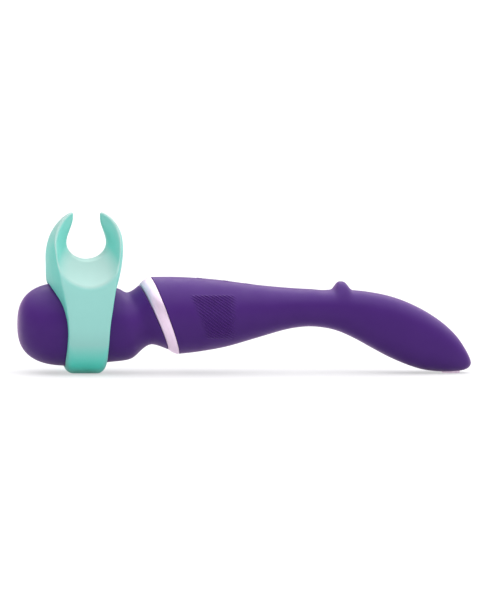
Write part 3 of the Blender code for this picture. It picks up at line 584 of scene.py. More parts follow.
RING_SLANT = math.atan2(
    NECK_STATIONS[-1][2] - NECK_STATIONS[-1][0], NECK_STATIONS[-1][1] - NECK_STATIONS[-1][3])
FINISHES = {name: make(name, *looks) for name, make, *looks in (
    ("purple_silicone", silicone, (0.056, 0.0110, 0.158), (0.062, 0.0130, 0.171),
     (1.0, 0.62, 1.0), 0.36, 0.5, 0.2),
    # The mint's last three colours are painted light and shade by facing: painted shade on the flanks, a paler
    # painted lit tone on tops, a more saturated painted shade underneath.
    ("mint_silicone", silicone, (0.300, 0.65, 0.60), (0.315, 0.67, 0.62),
     (1.0, 1.0, 1.0), 0.03, 0.45, 0.35, ((0.15, 0.60, 0.52), (0.33, 0.52, 0.485), (0.09, 0.80, 0.66))),
    ("rose_metal", brushed_metal, (0.93, 0.76, 0.91), (0.87, 0.70, 0.85), 0.55, (0.0, -RING_SLANT, 0.0)),
    ("white_plastic", moulded_plastic, (0.72, 0.72, 0.71), (0.82, 0.82, 0.81), 0.42),
    ("dark_plastic", moulded_plastic, (0.02, 0.02, 0.024), (0.035, 0.035, 0.04), 0.5),
    ("seal_rubber", moulded_plastic, (0.012, 0.012, 0.012), (0.03, 0.03, 0.03), 0.72, 900.0),
    ("lead_red", moulded_plastic, (0.42, 0.02, 0.02), (0.56, 0.04, 0.035), 0.42, 800.0),
    ("steel", brushed_metal, (0.6, 0.61, 0.62), (0.48, 0.49, 0.5), 0.3,
     (0.0, 0.0, 0.0), (60.0, 900.0, 900.0)),
    ("gold_contact", brushed_metal, (0.86, 0.68, 0.33), (0.74, 0.55, 0.24), 0.22,
     (0.0, 0.0, 0.0), (900.0, 900.0, 60.0)),
    ("copper", wound_copper),
    ("board_green", circuit_board),
    ("cell_wrap", shrink_wrap),
    ("clear_lens", light_pipe),
)}


def dress(piece, slot):
    """Give a piece its finish and name the record's slot for it."""
    piece.data.materials.clear()
    piece.data.materials.append(FINISHES[slot])
    return piece


def dress_frame_nodes():
    slots = {row["node"]: row["material_slot"] for row in frame["record"]["subparts"]}
    for node, piece in frame["nodes"].items():
        piece.data.materials.clear()
        piece.data.materials.append(FINISHES[slots[node]])


# ----------------------------------------------------------------------------- head and neck sleeve
SLEEVE_SIDES = 144
SEAM_OFFSETS = (0.15, 0.4)


def dome_rings(inset, steps, around):
    """Rings of the head's domed front from near its pole to its full width."""
    length = HEAD_FULL_X - HEAD_TIP_X - inset
    angles = np.linspace(0, math.pi / 2, steps + 1)[1:]
    x = HEAD_FULL_X - length * np.abs(np.cos(angles)) ** (2 / DOME_POWER)
    radius = (HEAD_RADIUS - inset) * np.sin(angles) ** (2 / DOME_POWER)
    turn = even_angles(around)
    return np.stack([
        np.repeat(x[:, None], around, axis=1),
        radius[:, None] * np.cos(turn)[None, :],
        HEAD_AXIS_Z + radius[:, None] * np.sin(turn)[None, :],
    ], axis=2)


def seam_stops(low, high, count, fine_low, fine_high):
    """Stops between low and high, closely spaced at the ends that are marked fine."""
    stops = list(np.linspace(low, high, count))
    if fine_low:
        stops += [low + offset for offset in SEAM_OFFSETS]
    if fine_high:
        stops += [high - offset for offset in SEAM_OFFSETS]
    return np.array(sorted(stops))


def make_head_skin():
    """The sleeve's front part: the head and the neck as far as the waist."""
    turn = even_angles(SLEEVE_SIDES)
    stops = seam_stops(HEAD_FULL_X + 0.6, SEAM_S, 74, False, True)
    outer = np.concatenate([dome_rings(0.0, 46, SLEEVE_SIDES), section_points(SLEEVE_AT(stops), turn)])
    stops = np.linspace(HEAD_FULL_X + 2, SEAM_S, 16)
    inner = np.concatenate([
        dome_rings(SKIN, 12, SLEEVE_SIDES), section_points(SLEEVE_AT(stops), turn, SKIN)])
    tip = np.array([HEAD_TIP_X, 0, HEAD_AXIS_Z])
    skin = wall("head_skin", outer, inner, tip, tip + [SKIN, 0, 0])
    return dress(skin, "purple_silicone")


def rolled_edge(edge_s, direction):
    """Stops and insets of a quarter round that turns a skin's edge in towards its inner face."""
    back, inset = quarter_round(EDGE_ROUND, 5)
    return edge_s - direction * back, inset


def make_neck_skin():
    """The sleeve's rear part, from the waist to the trim ring, with a rolled edge at the ring."""
    turn = even_angles(SLEEVE_SIDES)
    edge = RING_FRONT_S - EDGE_GAP
    roll_stops, roll_insets = rolled_edge(edge, 1)
    stops = seam_stops(SEAM_S, edge - EDGE_ROUND - 0.2, 30, True, False)
    all_stops = np.concatenate([stops, roll_stops[::-1]])
    insets = np.concatenate([np.zeros(len(stops)), roll_insets[::-1]])
    outer = section_points(SLEEVE_AT(all_stops), turn, insets)
    inner = section_points(SLEEVE_AT(np.linspace(SEAM_S, edge, 8)), turn, SKIN)
    return dress(wall("neck_skin", outer, inner), "purple_silicone")


# ---------------------------------------------------------------------------------------- trim ring
RING_ROUND = 0.45
RING_WALL = 3.0
RING_FLARE = 0.8
RING_SIDES = 192


def ring_rows(shares):
    """Stations of the flared trim ring a share of the way from the neck to the handle."""
    start, end = np.array(NECK_STATIONS[-1]), np.array(HANDLE_STATIONS[0])
    low, high = (math.hypot(row[0] - row[2], row[1] - row[3]) / 2 for row in (start, end))
    rows = []
    for t in shares:
        row = start + (end - start) * t
        swell = math.sin(t * math.pi / 2) ** RING_FLARE if t > 0 else 0.0
        top, bottom = row[:2], row[2:4]
        centre, up = (top + bottom) / 2, (top - bottom) / np.linalg.norm(top - bottom)
        rise = up * (low + (high - low) * swell)
        rows.append((*(centre + rise), *(centre - rise), start[4] + (end[4] - start[4]) * swell, 2.0))
    return np.array(rows)


def make_trim_ring():
    length = RING_BACK_S - RING_FRONT_S
    turn = even_angles(RING_SIDES)
    back, inset = quarter_round(RING_ROUND)
    lead = back / length
    middle = np.linspace(lead[-1], 1 - lead[-1], 22)[1:-1]
    shares = np.concatenate([lead, middle, 1 - lead[::-1]])
    insets = np.concatenate([inset, np.zeros(len(middle)), inset[::-1]])
    outer = section_points(ring_rows(shares), turn, insets)
    inner = section_points(ring_rows(np.linspace(0, 1, 6)), turn, RING_WALL)
    return dress(wall("trim_band", outer, inner, sharp_degrees=SOFT), "rose_metal")


# -------------------------------------------------------------------------------------- handle skin
def thumb_relief(x, angle):
    """Height of the crest that stops the thumb, less the shallow rest before it."""
    length, power = np.where((x < THUMB_STOP_X)[..., None], THUMB_STOP_FRONT, THUMB_STOP_BACK).T
    crest = THUMB_STOP_HEIGHT * np.exp(-np.abs((x.T - THUMB_STOP_X) / length) ** power).T
    rest = THUMB_REST_DEPTH * np.exp(-((x - THUMB_REST_X) / THUMB_REST_LENGTH) ** 2)
    return (crest - rest) * np.maximum(np.sin(angle), 0) ** THUMB_STOP_WRAP


def soft_step(value, width):
    """0 below -width, 1 above +width and smooth between."""
    t = np.clip(value / (2 * width) + 0.5, 0, 1)
    return t * t * (3 - 2 * t)


def grip_relief(x, z, around_mm):
    """Fine slanted ridges inside a leaning patch on the handle's side."""
    (x0, z0), (x1, z1) = GRIP_LEFT
    left = x - (x0 + (x1 - x0) * (z0 - z) / (z0 - z1))
    patch = soft_step(left - GRIP_FADE / 2, GRIP_FADE / 2)
    patch = patch * soft_step(GRIP_RIGHT_X - x, GRIP_FADE)
    patch = patch * soft_step(GRIP_TOP_Z - z, GRIP_EDGE_FADE)
    patch = patch * soft_step(z - GRIP_BOTTOM_Z, GRIP_EDGE_FADE)
    phase = (x * math.sin(GRIP_SLANT) + around_mm * math.cos(GRIP_SLANT)) / GRIP_PITCH
    return GRIP_HEIGHT * patch * (0.5 + 0.5 * np.cos(2 * math.pi * phase)) ** GRIP_NARROWING


def handle_angles():
    """Angles round the handle, closely spaced where the ridges are."""
    side = np.linspace(-GRIP_HALF_ANGLE, GRIP_HALF_ANGLE, 104)
    top = np.linspace(GRIP_HALF_ANGLE, math.pi - GRIP_HALF_ANGLE, 30)[1:-1]
    return np.concatenate([side, top, side + math.pi, top + math.pi])


def handle_stops():
    """Stops along the handle, closely spaced over the ridges and the thumb stop."""
    spans = [
        (RING_BACK_S + EDGE_GAP + EDGE_ROUND + 0.3, GRIP_START_X, 1.0),
        (GRIP_START_X, GRIP_END_X, 0.34),
        (GRIP_END_X, 46.0, 1.4),
        (46.0, 57.5, 0.9),
        (57.5, 76.0, 0.5),
        (76.0, NOSE_START, 1.5),
    ]
    parts = [np.arange(start, end, step) for start, end, step in spans]
    return np.concatenate([*parts, np.linspace(NOSE_START, TAIL_U, 26)[:-1]])


def handle_outer():
    angles = handle_angles()
    roll_stops, roll_insets = rolled_edge(RING_BACK_S + EDGE_GAP, -1)
    stops = np.concatenate([roll_stops, handle_stops()])
    insets = np.concatenate([roll_insets, np.zeros(len(stops) - len(roll_stops))])
    rows = HANDLE_AT(stops)
    points = section_points(rows, angles, insets)
    points[:, :, 2] += thumb_relief(points[:, :, 0], angles[None, :]) * (insets == 0)[:, None]
    centre = (rows[:, 1] + rows[:, 3]) / 2
    arc = np.arcsin(np.sin(angles))[None, :] * rows[:, 4][:, None]
    height = grip_relief(points[:, :, 0], points[:, :, 2], arc + centre[:, None])
    outward = points - points.mean(axis=1, keepdims=True)
    outward /= np.maximum(np.linalg.norm(outward, axis=2, keepdims=True), 1e-9)
    return points + outward * height[:, :, None]


def make_handle_skin():
    outer = handle_outer()[::-1]
    stops = np.concatenate([
        np.linspace(RING_BACK_S + EDGE_GAP, NOSE_START, 40),
        np.linspace(NOSE_START, TAIL_U - 4.0, 5)[1:],
    ])
    inner = section_points(HANDLE_AT(stops), handle_angles(), SKIN)[::-1]
    tip = HANDLE_AT([TAIL_U])[0]
    outer_tip = np.array([tip[0], 0, tip[1]])
    inner_tip = inner[0].mean(axis=0)
    return dress(wall("handle_skin", outer, inner, outer_tip, inner_tip), "purple_silicone")


# ------------------------------------------------------------------------------- forked attachment
BAND_CENTRE_X = -115.8
BAND_RADIUS = 34.8
BORE_RADIUS = 29.75
# (height, half width towards the head's tip and towards the neck in the middle of its depth, the same
# two at the front and back faces, half depth)
FORK_LEVELS = [
    (34.2, 15.5, 15.5, 13.7, 15.0, 34.8),
    (48.0, 20.0, 17.6, 15.4, 16.8, 34.8),
    (58.0, 25.2, 19.9, 17.3, 18.2, 34.5),
    (65.0, 26.8, 22.8, 19.3, 19.3, 34.1),
    (75.0, 27.2, 25.2, 20.8, 20.6, 32.6),
    (84.0, 27.3, 26.2, 21.9, 22.0, 28.8),
    (92.0, 25.9, 26.0, 22.6, 23.0, 23.6),
    (99.0, 23.2, 24.6, 21.0, 22.4, 17.4),
    (105.0, 19.2, 21.4, 18.0, 20.2, 12.0),
    (109.5, 14.8, 17.4, 14.0, 16.2, 8.0),
    (112.2, 10.6, 13.2, 10.3, 12.5, 5.4),
    (113.2, 8.8, 10.8, 8.6, 10.4, 4.0),
]
BAND_ROW = (15.0, 15.0, 13.4, 14.2, 34.8)
BAND_FOOT_ROW = (12.6, 13.8, 11.6, 12.8, 34.8)
BAND_TOP_Z = 17.0
TIP_MIDDLE, NECK_MIDDLE, TIP_EDGE, NECK_EDGE, DEPTH = range(5)
NOTCH_CENTRE_X = -115.0
NOTCH_FLOOR_Z = 80.0
NOTCH_MIDDLE_Z = 91.5
NOTCH_HALF = 13.9
NOTCH_THROAT = 9.4
SCOOP_DEPTH = 18.0
SCOOP_SPAN = 33.0
LAND_END = 0.3
LAND_SHARE = 0.10
RIM_OVERCUT = 0.5
THROAT_Z = 109.0
FORK_CELL = 0.6
FORK_BLUR = 1.5
FORK_EDGE = 1.3
BAND_EDGE = 1.2
BAND_FOOT_EDGE = 6.0
NOTCH_EDGE = 2.2
NEAR_CELLS = 6.0


def fork_rows(z):
    rows = [(0.0, *BAND_FOOT_ROW), (BAND_TOP_Z / 2, *BAND_ROW), (BAND_TOP_Z, *BAND_ROW)] + FORK_LEVELS
    return hermite(rows, z)


FORK_AT = reader(-2.0, FORK_LEVELS[-1][0], fork_rows, FORK_BLUR)


def smooth_max(a, b, width):
    """The larger of two distances, with the edge between them rounded over."""
    overlap = np.maximum(width - np.abs(a - b), 0) / width
    return np.maximum(a, b) + overlap**2 * width / 4


def scoop_share(t):
    """How far the notch has opened out at a share t of the depth: a crowned land, then a dish."""
    slope = np.clip((t - LAND_END) / (1 - LAND_END), 0, 1.2)
    dish = 0.75 * slope + 0.25 * (1 - (1 - np.minimum(slope, 1)) ** 2)
    return LAND_SHARE * np.minimum(t / LAND_END, 1) ** 2 + (1 - LAND_SHARE) * dish


def fork_side(points, side):
    """Distance outside the side towards the head's tip (-1) or towards the neck (1)."""
    x, y, z = points.T
    row = FORK_AT(z)
    middle, edge = row[:, [TIP_MIDDLE, TIP_EDGE] if side < 0 else [NECK_MIDDLE, NECK_EDGE]].T
    share = np.clip(y / row[:, DEPTH], -1.3, 1.3) ** 2
    return side * (x - BAND_CENTRE_X) - (middle - (middle - edge) * share)


def fork_face(points):
    """Distance outside the band's cylinder below its axis and outside the fork's faces above it."""
    y, z = points[:, 1], points[:, 2]
    band = np.hypot(y, z - HEAD_AXIS_Z) - BAND_RADIUS
    fork = np.abs(y) - FORK_AT(z)[:, DEPTH]
    return np.where(z < HEAD_AXIS_Z, band, fork)


def fork_top(points):
    return points[:, 2] - FORK_HIGH[2]


def fork_bore(points):
    return BORE_RADIUS - np.hypot(points[:, 1], points[:, 2] - HEAD_AXIS_Z)


def fork_notch(points):
    """Positive inside the C-shaped notch, which widens and drops towards the front and back."""
    x, y, z = points.T
    row = FORK_AT(z)
    share = scoop_share(np.minimum(np.abs(y) / row[:, DEPTH], 1.15))
    drop = SCOOP_DEPTH * share
    raised = (z + drop * (1 + NOTCH_FLOOR_Z / SCOOP_SPAN)) / (1 + drop / SCOOP_SPAN)
    rise = np.clip((raised - NOTCH_MIDDLE_Z) / (THROAT_Z - NOTCH_MIDDLE_Z), 0, 1)
    narrow = NOTCH_HALF + (NOTCH_THROAT - NOTCH_HALF) * rise * rise * (3 - 2 * rise)
    offset = x - NOTCH_CENTRE_X
    shift = NOTCH_CENTRE_X - BAND_CENTRE_X
    edge = np.where(offset < 0, row[:, TIP_EDGE] + shift, row[:, NECK_EDGE] - shift) + RIM_OVERCUT
    half = narrow + (edge - narrow) * share
    across = np.abs(offset) / half
    below = NOTCH_MIDDLE_Z - NOTCH_FLOOR_Z
    bowl = np.hypot(across, np.maximum(NOTCH_MIDDLE_Z - raised, 0) / below) - 1
    return -bowl * below


def slope_of(field, points, step=0.05):
    """The gradient of a field by small differences."""
    parts = []
    for axis in range(3):
        shift = np.zeros(3)
        shift[axis] = step
        parts.append((field(points + shift) - field(points - shift)) / (2 * step))
    return np.stack(parts, axis=1)


def distance(field, points):
    """A field scaled to be close to a true distance near its surface."""
    steep = np.linalg.norm(slope_of(field, points), axis=1)
    return field(points) / np.maximum(steep, 0.2)


def side_rounding(points):
    """The rounding of the attachment's long edges, softer under the band."""
    foot = 1 - soft_step(points[:, 2] - BAND_TOP_Z, BAND_TOP_Z / 2)
    return FORK_EDGE + (BAND_FOOT_EDGE - FORK_EDGE) * foot


def fork_parts(points):
    """The attachment's limiting surfaces, each with the rounding of the edge it makes."""
    return [
        (fork_face, 0.0),
        (lambda p: fork_side(p, -1), side_rounding(points)),
        (lambda p: fork_side(p, 1), side_rounding(points)),
        (fork_top, FORK_EDGE),
        (fork_notch, NOTCH_EDGE),
        (fork_bore, BAND_EDGE),
    ]


def fork_field(points):
    """Negative inside the attachment, positive outside."""
    value = None
    for part, rounding in fork_parts(points):
        here = distance(part, points)
        value = here if value is None else smooth_max(value, here, rounding)
    return value


def rough_field(points):
    """The surface without rounding: quick to work out, and only good for finding what is near it."""
    return np.max([part(points) for part, _ in fork_parts(points)], axis=0)


def surface_net(field, rough, low, high, cell):
    """Points and quads of a field's zero surface: one point for each grid cell that it crosses."""
    axes = [np.arange(a, b + cell, cell) for a, b in zip(low, high)]
    shape = tuple(len(a) for a in axes)
    grid = np.stack(np.meshgrid(*axes, indexing="ij"), axis=-1).reshape(-1, 3)
    value = np.concatenate([rough(part) for part in np.array_split(grid, 24)])
    near = np.abs(value) < NEAR_CELLS * cell
    value[near] = np.concatenate([field(part) for part in np.array_split(grid[near], 8)])
    value = value.reshape(shape)
    cells = tuple(n - 1 for n in shape)

    def corner(array, offset):
        return array[tuple(slice(o, o + c) for o, c in zip(offset, cells))]

    total = np.zeros((*cells, 3))
    crossings = np.zeros(cells)
    for start in itertools.product((0, 1), repeat=3):
        for axis in range(3):
            if start[axis]:
                continue
            end = tuple(o + (a == axis) for a, o in enumerate(start))
            first, second = corner(value, start), corner(value, end)
            crosses = (first < 0) != (second < 0)
            share = np.where(crosses, first / np.where(crosses, first - second, 1), 0)
            for a in range(3):
                place = start[a] + (share if a == axis else 0)
                total[..., a] += np.where(crosses, place, 0)
            crossings += crosses
    active = crossings > 0
    number = np.full(cells, -1)
    number[active] = np.arange(active.sum())
    base = np.stack(np.nonzero(active), axis=1)
    points = np.array(low) + cell * (base + total[active] / crossings[active][:, None])
    return points, np.concatenate([net_quads(value, number, axis) for axis in range(3)])


def net_quads(value, number, axis):
    """Quads across the grid's edges along one axis wherever the field changes sign."""
    others = [a for a in range(3) if a != axis]
    here, ahead = [slice(1, -1)] * 3, [slice(1, -1)] * 3
    here[axis], ahead[axis] = slice(0, -1), slice(1, None)
    index = np.stack(np.nonzero((value[tuple(here)] < 0) != (value[tuple(ahead)] < 0)), axis=1)
    index[:, others] += 1
    loop = []
    for back in ((1, 1), (0, 1), (0, 0), (1, 0)):
        at = index.copy()
        at[:, others] -= back
        loop.append(number[tuple(at.T)])
    return np.stack(loop, axis=1)


def relaxed(field, points, quads, rounds=6):
    """Even out a net's points and bring them back onto the surface."""
    links = np.concatenate([quads[:, [i, (i + 1) % 4]] for i in range(4)])
    count = np.bincount(links.ravel(), minlength=len(points))[:, None]
    for _ in range(rounds):
        total = np.zeros_like(points)
        np.add.at(total, links[:, 0], points[links[:, 1]])
        np.add.at(total, links[:, 1], points[links[:, 0]])
        points = points + 0.5 * (total / count - points)
        for _ in range(2):
            slope = slope_of(field, points)
            steep = np.maximum((slope**2).sum(axis=1), 0.1)
            points = points - (field(points) / steep)[:, None] * slope
    return points


def make_attachment():
    low = FORK_LOW - 2 * FORK_CELL
    high = FORK_HIGH + 2 * FORK_CELL
    points, quads = surface_net(fork_field, rough_field, low, high, FORK_CELL)
    points = relaxed(fork_field, points, quads)
    points[:, 2] = np.maximum(points[:, 2], FORK_LOW[2])
    fork = make_object("forked_attachment", points, quads.tolist(), SOFT)
    return dress(fork, "mint_silicone")


# ------------------------------------------------------------------- buttons, light pipe, charging face
BUTTON_RADIUS = 4.6
BUTTON_GAP = 0.3
BUTTON_RIM = 0.45
BUTTON_DISH = 0.12
BUTTON_DRAFT = 0.15
BUTTON_SKIRT = 0.85
STEM_RADIUS = 1.5
LIP = 0.45
LIP_RISE = 0.03
MARK_HEIGHT = 0.22
MARK_HALF = 0.40
MARK_EDGE = 0.12
MARK_ARM = 1.7
LENS_RADIUS = 1.25
LENS_GAP = 0.2
LENS_EDGE = 0.3
LENS_DOME = 0.12
PLATE_EDGE = 0.35
PLATE_POWER = 0.8
WELL_RADIUS = 1.5
WELL_LIP = 0.3
PIN_ROUND = 0.1
HOLE_SIDES = 96
LEAN = -PRESS_AXIS
LEAN_TURN = np.array(Vector(LEAN).to_track_quat("Z", "Y").to_matrix())


def bar_distance(x, y, x0, y0, x1, y1):
    """Distance from a straight mark's centreline."""
    along = ((x - x0) * (x1 - x0) + (y - y0) * (y1 - y0)) / ((x1 - x0) ** 2 + (y1 - y0) ** 2)
    t = np.clip(along, 0, 1)
    return np.hypot(x - x0 - t * (x1 - x0), y - y0 - t * (y1 - y0))


def power_mark(x, y):
    """A broken circle with a bar in its gap."""
    radius, gap = 1.75, 0.55
    circle = np.where(np.abs(np.arctan2(y, x)) < gap, np.inf, np.abs(np.hypot(x, y) - radius))
    for angle in (-gap, gap):
        circle = np.minimum(circle, np.hypot(x - radius * math.cos(angle), y - radius * math.sin(angle)))
    return np.minimum(circle, bar_distance(x, y, 0.5, 0, 2.3, 0))


def minus_mark(x, y):
    return bar_distance(x, y, 0, -MARK_ARM, 0, MARK_ARM)


def plus_mark(x, y):
    return np.minimum(bar_distance(x, y, -MARK_ARM, 0, MARK_ARM, 0), minus_mark(x, y))


MARKS = {"power": power_mark, "up": plus_mark, "down": minus_mark}


def top_place(node):
    """Where a node that leans with the buttons meets the handle's top: on its own centre line."""
    low, high = node_box(node)
    across = (high[1] - low[1]) / 2 * LEAN[2]
    base_x = low[0] + across
    on_line = high[0] - across
    return np.array([on_line, 0.0, low[2] + (on_line - base_x) * LEAN[2] / LEAN[0]])


def surface_reader(skin, place):
    """Height of a skin above a leaning plane at points of that plane, by looking down the lean."""
    bm = bmesh.new()
    bm.from_mesh(skin.data)
    tree = BVHTree.FromBMesh(bm)
    bm.free()
    start = place + 12.0 * LEAN

    def height(x, y):
        values = []
        for point in start + np.stack([x, y, np.zeros_like(x)], axis=1) @ LEAN_TURN.T:
            hit = tree.ray_cast(Vector(point * MM), Vector(-LEAN))[0]
            values.append(float((np.array(hit) / MM - place) @ LEAN))
        return np.array(values)

    return height


def leaning_loft(name, place, height, profile, sharp_degrees=SHARP, relief=None):
    """Rings about the lean, given as (radius, distance, share of the skin's height they follow)."""
    angles = even_angles(HOLE_SIDES)
    rings = []
    for radius, distance_up, follow in profile:
        x, y = radius * np.cos(angles), radius * np.sin(angles)
        z = distance_up + (follow * height(x, y) if follow else 0.0)
        if relief is not None:
            z = z + relief(x, y, distance_up)
        local = np.stack([x, y, np.broadcast_to(z, x.shape)], axis=1)
        rings.append(place + local @ LEAN_TURN.T)
    return closed_loft(name, rings, sharp_degrees)


def hole_cutter(name, place, height, radius):
    """A plug for a hole whose lip rolls over into the skin round it."""
    back, out = quarter_round(LIP, 7)
    profile = [(radius, -6.0, 0.0), (radius, -LIP - 0.6, 1.0)]
    profile += [(radius + r, LIP_RISE - b, 1.0) for b, r in zip(back[::-1], out[::-1])]
    profile += [(radius + LIP + 1.2, LIP_RISE + 1.2, 1.0)]
    return leaning_loft(name, place, height, profile)


def make_button(name, place, height):
    """A cap that follows the handle's top, with its mark raised on it, above a narrow stem."""
    low, _ = node_box(f"{name}_button")
    stem = (place[2] - low[2]) / LEAN[2]
    rim = BUTTON_RADIUS - BUTTON_RIM
    profile = [(STEM_RADIUS, -stem, 0.0), (STEM_RADIUS, -SKIN + 0.2, 0.0)]
    profile += [(BUTTON_RADIUS - BUTTON_DRAFT, -BUTTON_SKIRT, 1.0)]
    profile += [(BUTTON_RADIUS - b, -i, 1.0) for b, i in zip(*quarter_round(BUTTON_RIM, 7))]
    for radius in np.linspace(rim, 0.02, 46)[1:]:
        profile.append((radius, -BUTTON_DISH * (1 - (radius / rim) ** 2) ** 2, 1.0))

    def relief(x, y, distance_up):
        if distance_up < -BUTTON_DISH - 0.01:
            return np.zeros_like(x)
        return MARK_HEIGHT * soft_step(MARK_HALF - MARKS[name](x, y), MARK_EDGE)

    cap = leaning_loft(f"{name}_key", place, height, profile, SOFT, relief)
    return dress(cap, "purple_silicone")


def make_light_window(place, height):
    """The light pipe's visible end, slightly domed."""
    low, _ = node_box("indicator_lens")
    rim = LENS_RADIUS - LENS_EDGE
    profile = [(LENS_RADIUS, -(place[2] - low[2]) / LEAN[2], 0.0)]
    profile += [(LENS_RADIUS - b, -i, 1.0) for b, i in zip(*quarter_round(LENS_EDGE))]
    for radius in np.linspace(rim, 0.02, 8)[1:]:
        profile.append((radius, LENS_DOME * (1 - (radius / rim) ** 2), 1.0))
    return dress(leaning_loft("light_window", place, height, profile, SOFT), "clear_lens")


def oval_loft(name, centre, rings, sharp_degrees=SHARP):
    """An upright body through squared ovals, given as (half x, half y, z)."""
    angles = even_angles(HOLE_SIDES)
    oval = signed_power(np.stack([np.cos(angles), np.sin(angles)], axis=1), PLATE_POWER)
    layers = [np.column_stack([centre + half * oval, np.full(HOLE_SIDES, z)]) for *half, z in rings]
    return closed_loft(name, layers, sharp_degrees)


def plate_cutter(centre, half):
    """A plug for the charging plate's hole in the skin."""
    return oval_loft("plate_plug", centre, [(*(half + EDGE_GAP), z) for z in (-2.0, 4.5)])


def make_charge_face(centre, half):
    """The charging plate with rolled edges and a well round each contact."""
    face_z = PLATE_LOW[2]
    rings = [(*(half - PLATE_EDGE - 1.0), face_z)]
    rings += [(*(half - i), face_z + b) for b, i in zip(*quarter_round(PLATE_EDGE))]
    plate = oval_loft("charge_face", centre, rings + [(*half, PLATE_HIGH[2])], SOFT)
    depths = WELL_LIP * np.sin(np.linspace(0, math.pi / 2, ROUND_STEPS))[1:]
    profile = [(-1.0, 2.2), (0.0, 1.95)]
    profile += [(depth, WELL_RADIUS + WELL_LIP - depth) for depth in depths] + [(3.0, WELL_RADIUS)]
    angles = even_angles(HOLE_SIDES // 2)
    circle = np.stack([np.cos(angles), np.sin(angles), np.zeros_like(angles)], axis=1)
    wells = []
    for number in (1, 2):
        low, high = node_box(f"charge_pin_{number}")
        base = np.array([*((low + high) / 2)[:2], face_z])
        rings = [base + circle * radius + [0, 0, depth] for depth, radius in profile]
        wells.append(closed_loft(f"well_{number}", rings))
    return dress(cut(plate, wells, SOFT), "rose_metal")


def soften_pins():
    """Round the contacts' edges a little, without changing the frame's own meshes."""
    for number in (1, 2):
        change = frame["nodes"][f"charge_pin_{number}"].modifiers.new("soft edge", "BEVEL")
        change.width = PIN_ROUND * MM
        change.segments = 2
        change.limit_method = "ANGLE"
        change.angle_limit = math.radians(40)


def fit_controls(skin):
    """Cut the handle skin for its controls and make them. Returns each piece with its body and node."""
    centre, half = ((PLATE_LOW + PLATE_HIGH) / 2)[:2], ((PLATE_HIGH - PLATE_LOW) / 2)[:2]
    made, cutters = [], [plate_cutter(centre, half)]
    for name in MARKS:
        place = top_place(f"{name}_button")
        height = surface_reader(skin, place)
        made.append((make_button(name, place, height), f"{name}_cap", f"{name}_button"))
        cutters.append(hole_cutter(f"{name}_plug", place, height, BUTTON_RADIUS + BUTTON_GAP))
    place = top_place("indicator_lens")
    height = surface_reader(skin, place)
    made.append((make_light_window(place, height), "handle", "indicator_lens"))
    cutters.append(hole_cutter("light_plug", place, height, LENS_RADIUS + LENS_GAP))
    made.append((make_charge_face(centre, half), "handle", "charge_plate"))
    cut(skin, cutters)
    return made


# ---------------------------------------------------------------------------------- spring and lead
NECK_PIVOT = np.array([-77.0, 0.0, 38.2])
SPRING_FRONT = np.array([-89.0, 0.0, 35.4])
SPRING_BACK = np.array([-70.0, 0.0, 39.0])
SPRING_TURNS = 5
SPRING_STEPS = 28
SPRING_RADIUS = 12.6
SPRING_WIRE = 1.0
SPRING_GAP = 1.3
LEAD_RADIUS = 0.9
LEAD_STEPS = 60
WIRE_SIDES = 10
# The lead's path through the neck, as (x, z).
LEAD_PATH = [
    (-103.0, 40.6), (-98.0, 39.4), (-89.0, 37.4), (-77.0, 38.2), (-66.0, 40.6), (-57.0, 47.0),
    (-51.4, 52.6),
]


def wire(name, path, radius, across):
    """A round wire along a path, with both ends closed. The path never runs along across."""
    tangent = np.gradient(path, axis=0)
    side = np.cross(tangent, across)
    side /= np.linalg.norm(side, axis=1)[:, None]
    lift = np.cross(side, tangent)
    lift /= np.linalg.norm(lift, axis=1)[:, None]
    angles = even_angles(WIRE_SIDES)[None, :, None]
    rings = path[:, None] + radius * (np.cos(angles) * side[:, None] + np.sin(angles) * lift[:, None])
    return closed_loft(name, rings, SOFT)


def make_neck_wires():
    """The spring and the motor lead, each in two pieces that meet in the middle of the neck."""
    axis = SPRING_BACK - SPRING_FRONT
    length = np.linalg.norm(axis)
    axis = axis / length
    turn = np.array(Vector(axis).to_track_quat("Z", "Y").to_matrix())
    share = np.linspace(0, 1, SPRING_TURNS * SPRING_STEPS + 1)
    angle = 2 * math.pi * SPRING_TURNS * share
    along = SPRING_GAP + (length - 2 * SPRING_GAP) * share
    coil = np.stack([SPRING_RADIUS * np.cos(angle), SPRING_RADIUS * np.sin(angle), along], axis=1)
    coil = SPRING_FRONT + coil @ turn.T
    x = np.linspace(LEAD_PATH[0][0], LEAD_PATH[-1][0], LEAD_STEPS + 1)
    lead = np.stack([x, np.zeros_like(x), hermite(LEAD_PATH, x)[:, 0]], axis=1)
    for node, path, radius, across, slot in (
        ("neck_spring", coil, SPRING_WIRE, axis, "steel"),
        ("motor_lead", lead, LEAD_RADIUS, np.array([0.0, 1.0, 0.0]), "lead_red"),
    ):
        middle = int(np.argmin(np.abs((path - NECK_PIVOT) @ axis)))
        front = dress(wire(f"{node}_front", path[:middle + 1], radius, across), slot)
        rear = dress(wire(f"{node}_rear", path[middle:], radius, across), slot)
        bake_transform(front)
        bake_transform(rear)
        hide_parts(node)
        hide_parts(node)


# ------------------------------------------------------------------------------------ stage and light
CAMERA_AZIMUTH = math.radians(-8.5)
CAMERA_ELEVATION = math.radians(4.0)
CAMERA_ROLL = math.radians(0.8)
CAMERA_DISTANCE = 2.0
CAMERA_TARGET = Vector((0.0, 0.0, 0.045))
CAMERA_LENS = 170.03
AIM_SHIFT = (-0.0039, 0.0064)
SEEN_FLOOR = (0.35, 0.345, 0.355)
FLOOR_GLOW = 0.58
BOUNCE_FLOOR = (0.55, 0.55, 0.55)
LIGHT_ENERGY = 5.1
LIGHT_ANGLE = math.radians(110)
LIGHT_LEAN = (math.radians(-7), math.radians(8), 0.0)
SKY_STRENGTH = 1.1
SKY_SHARE = 0.17
HORIZON = 0.06
DIM_SKY = 0.2
FLOOR_HALF = 40.0
FLOOR_GAP = 0.00003


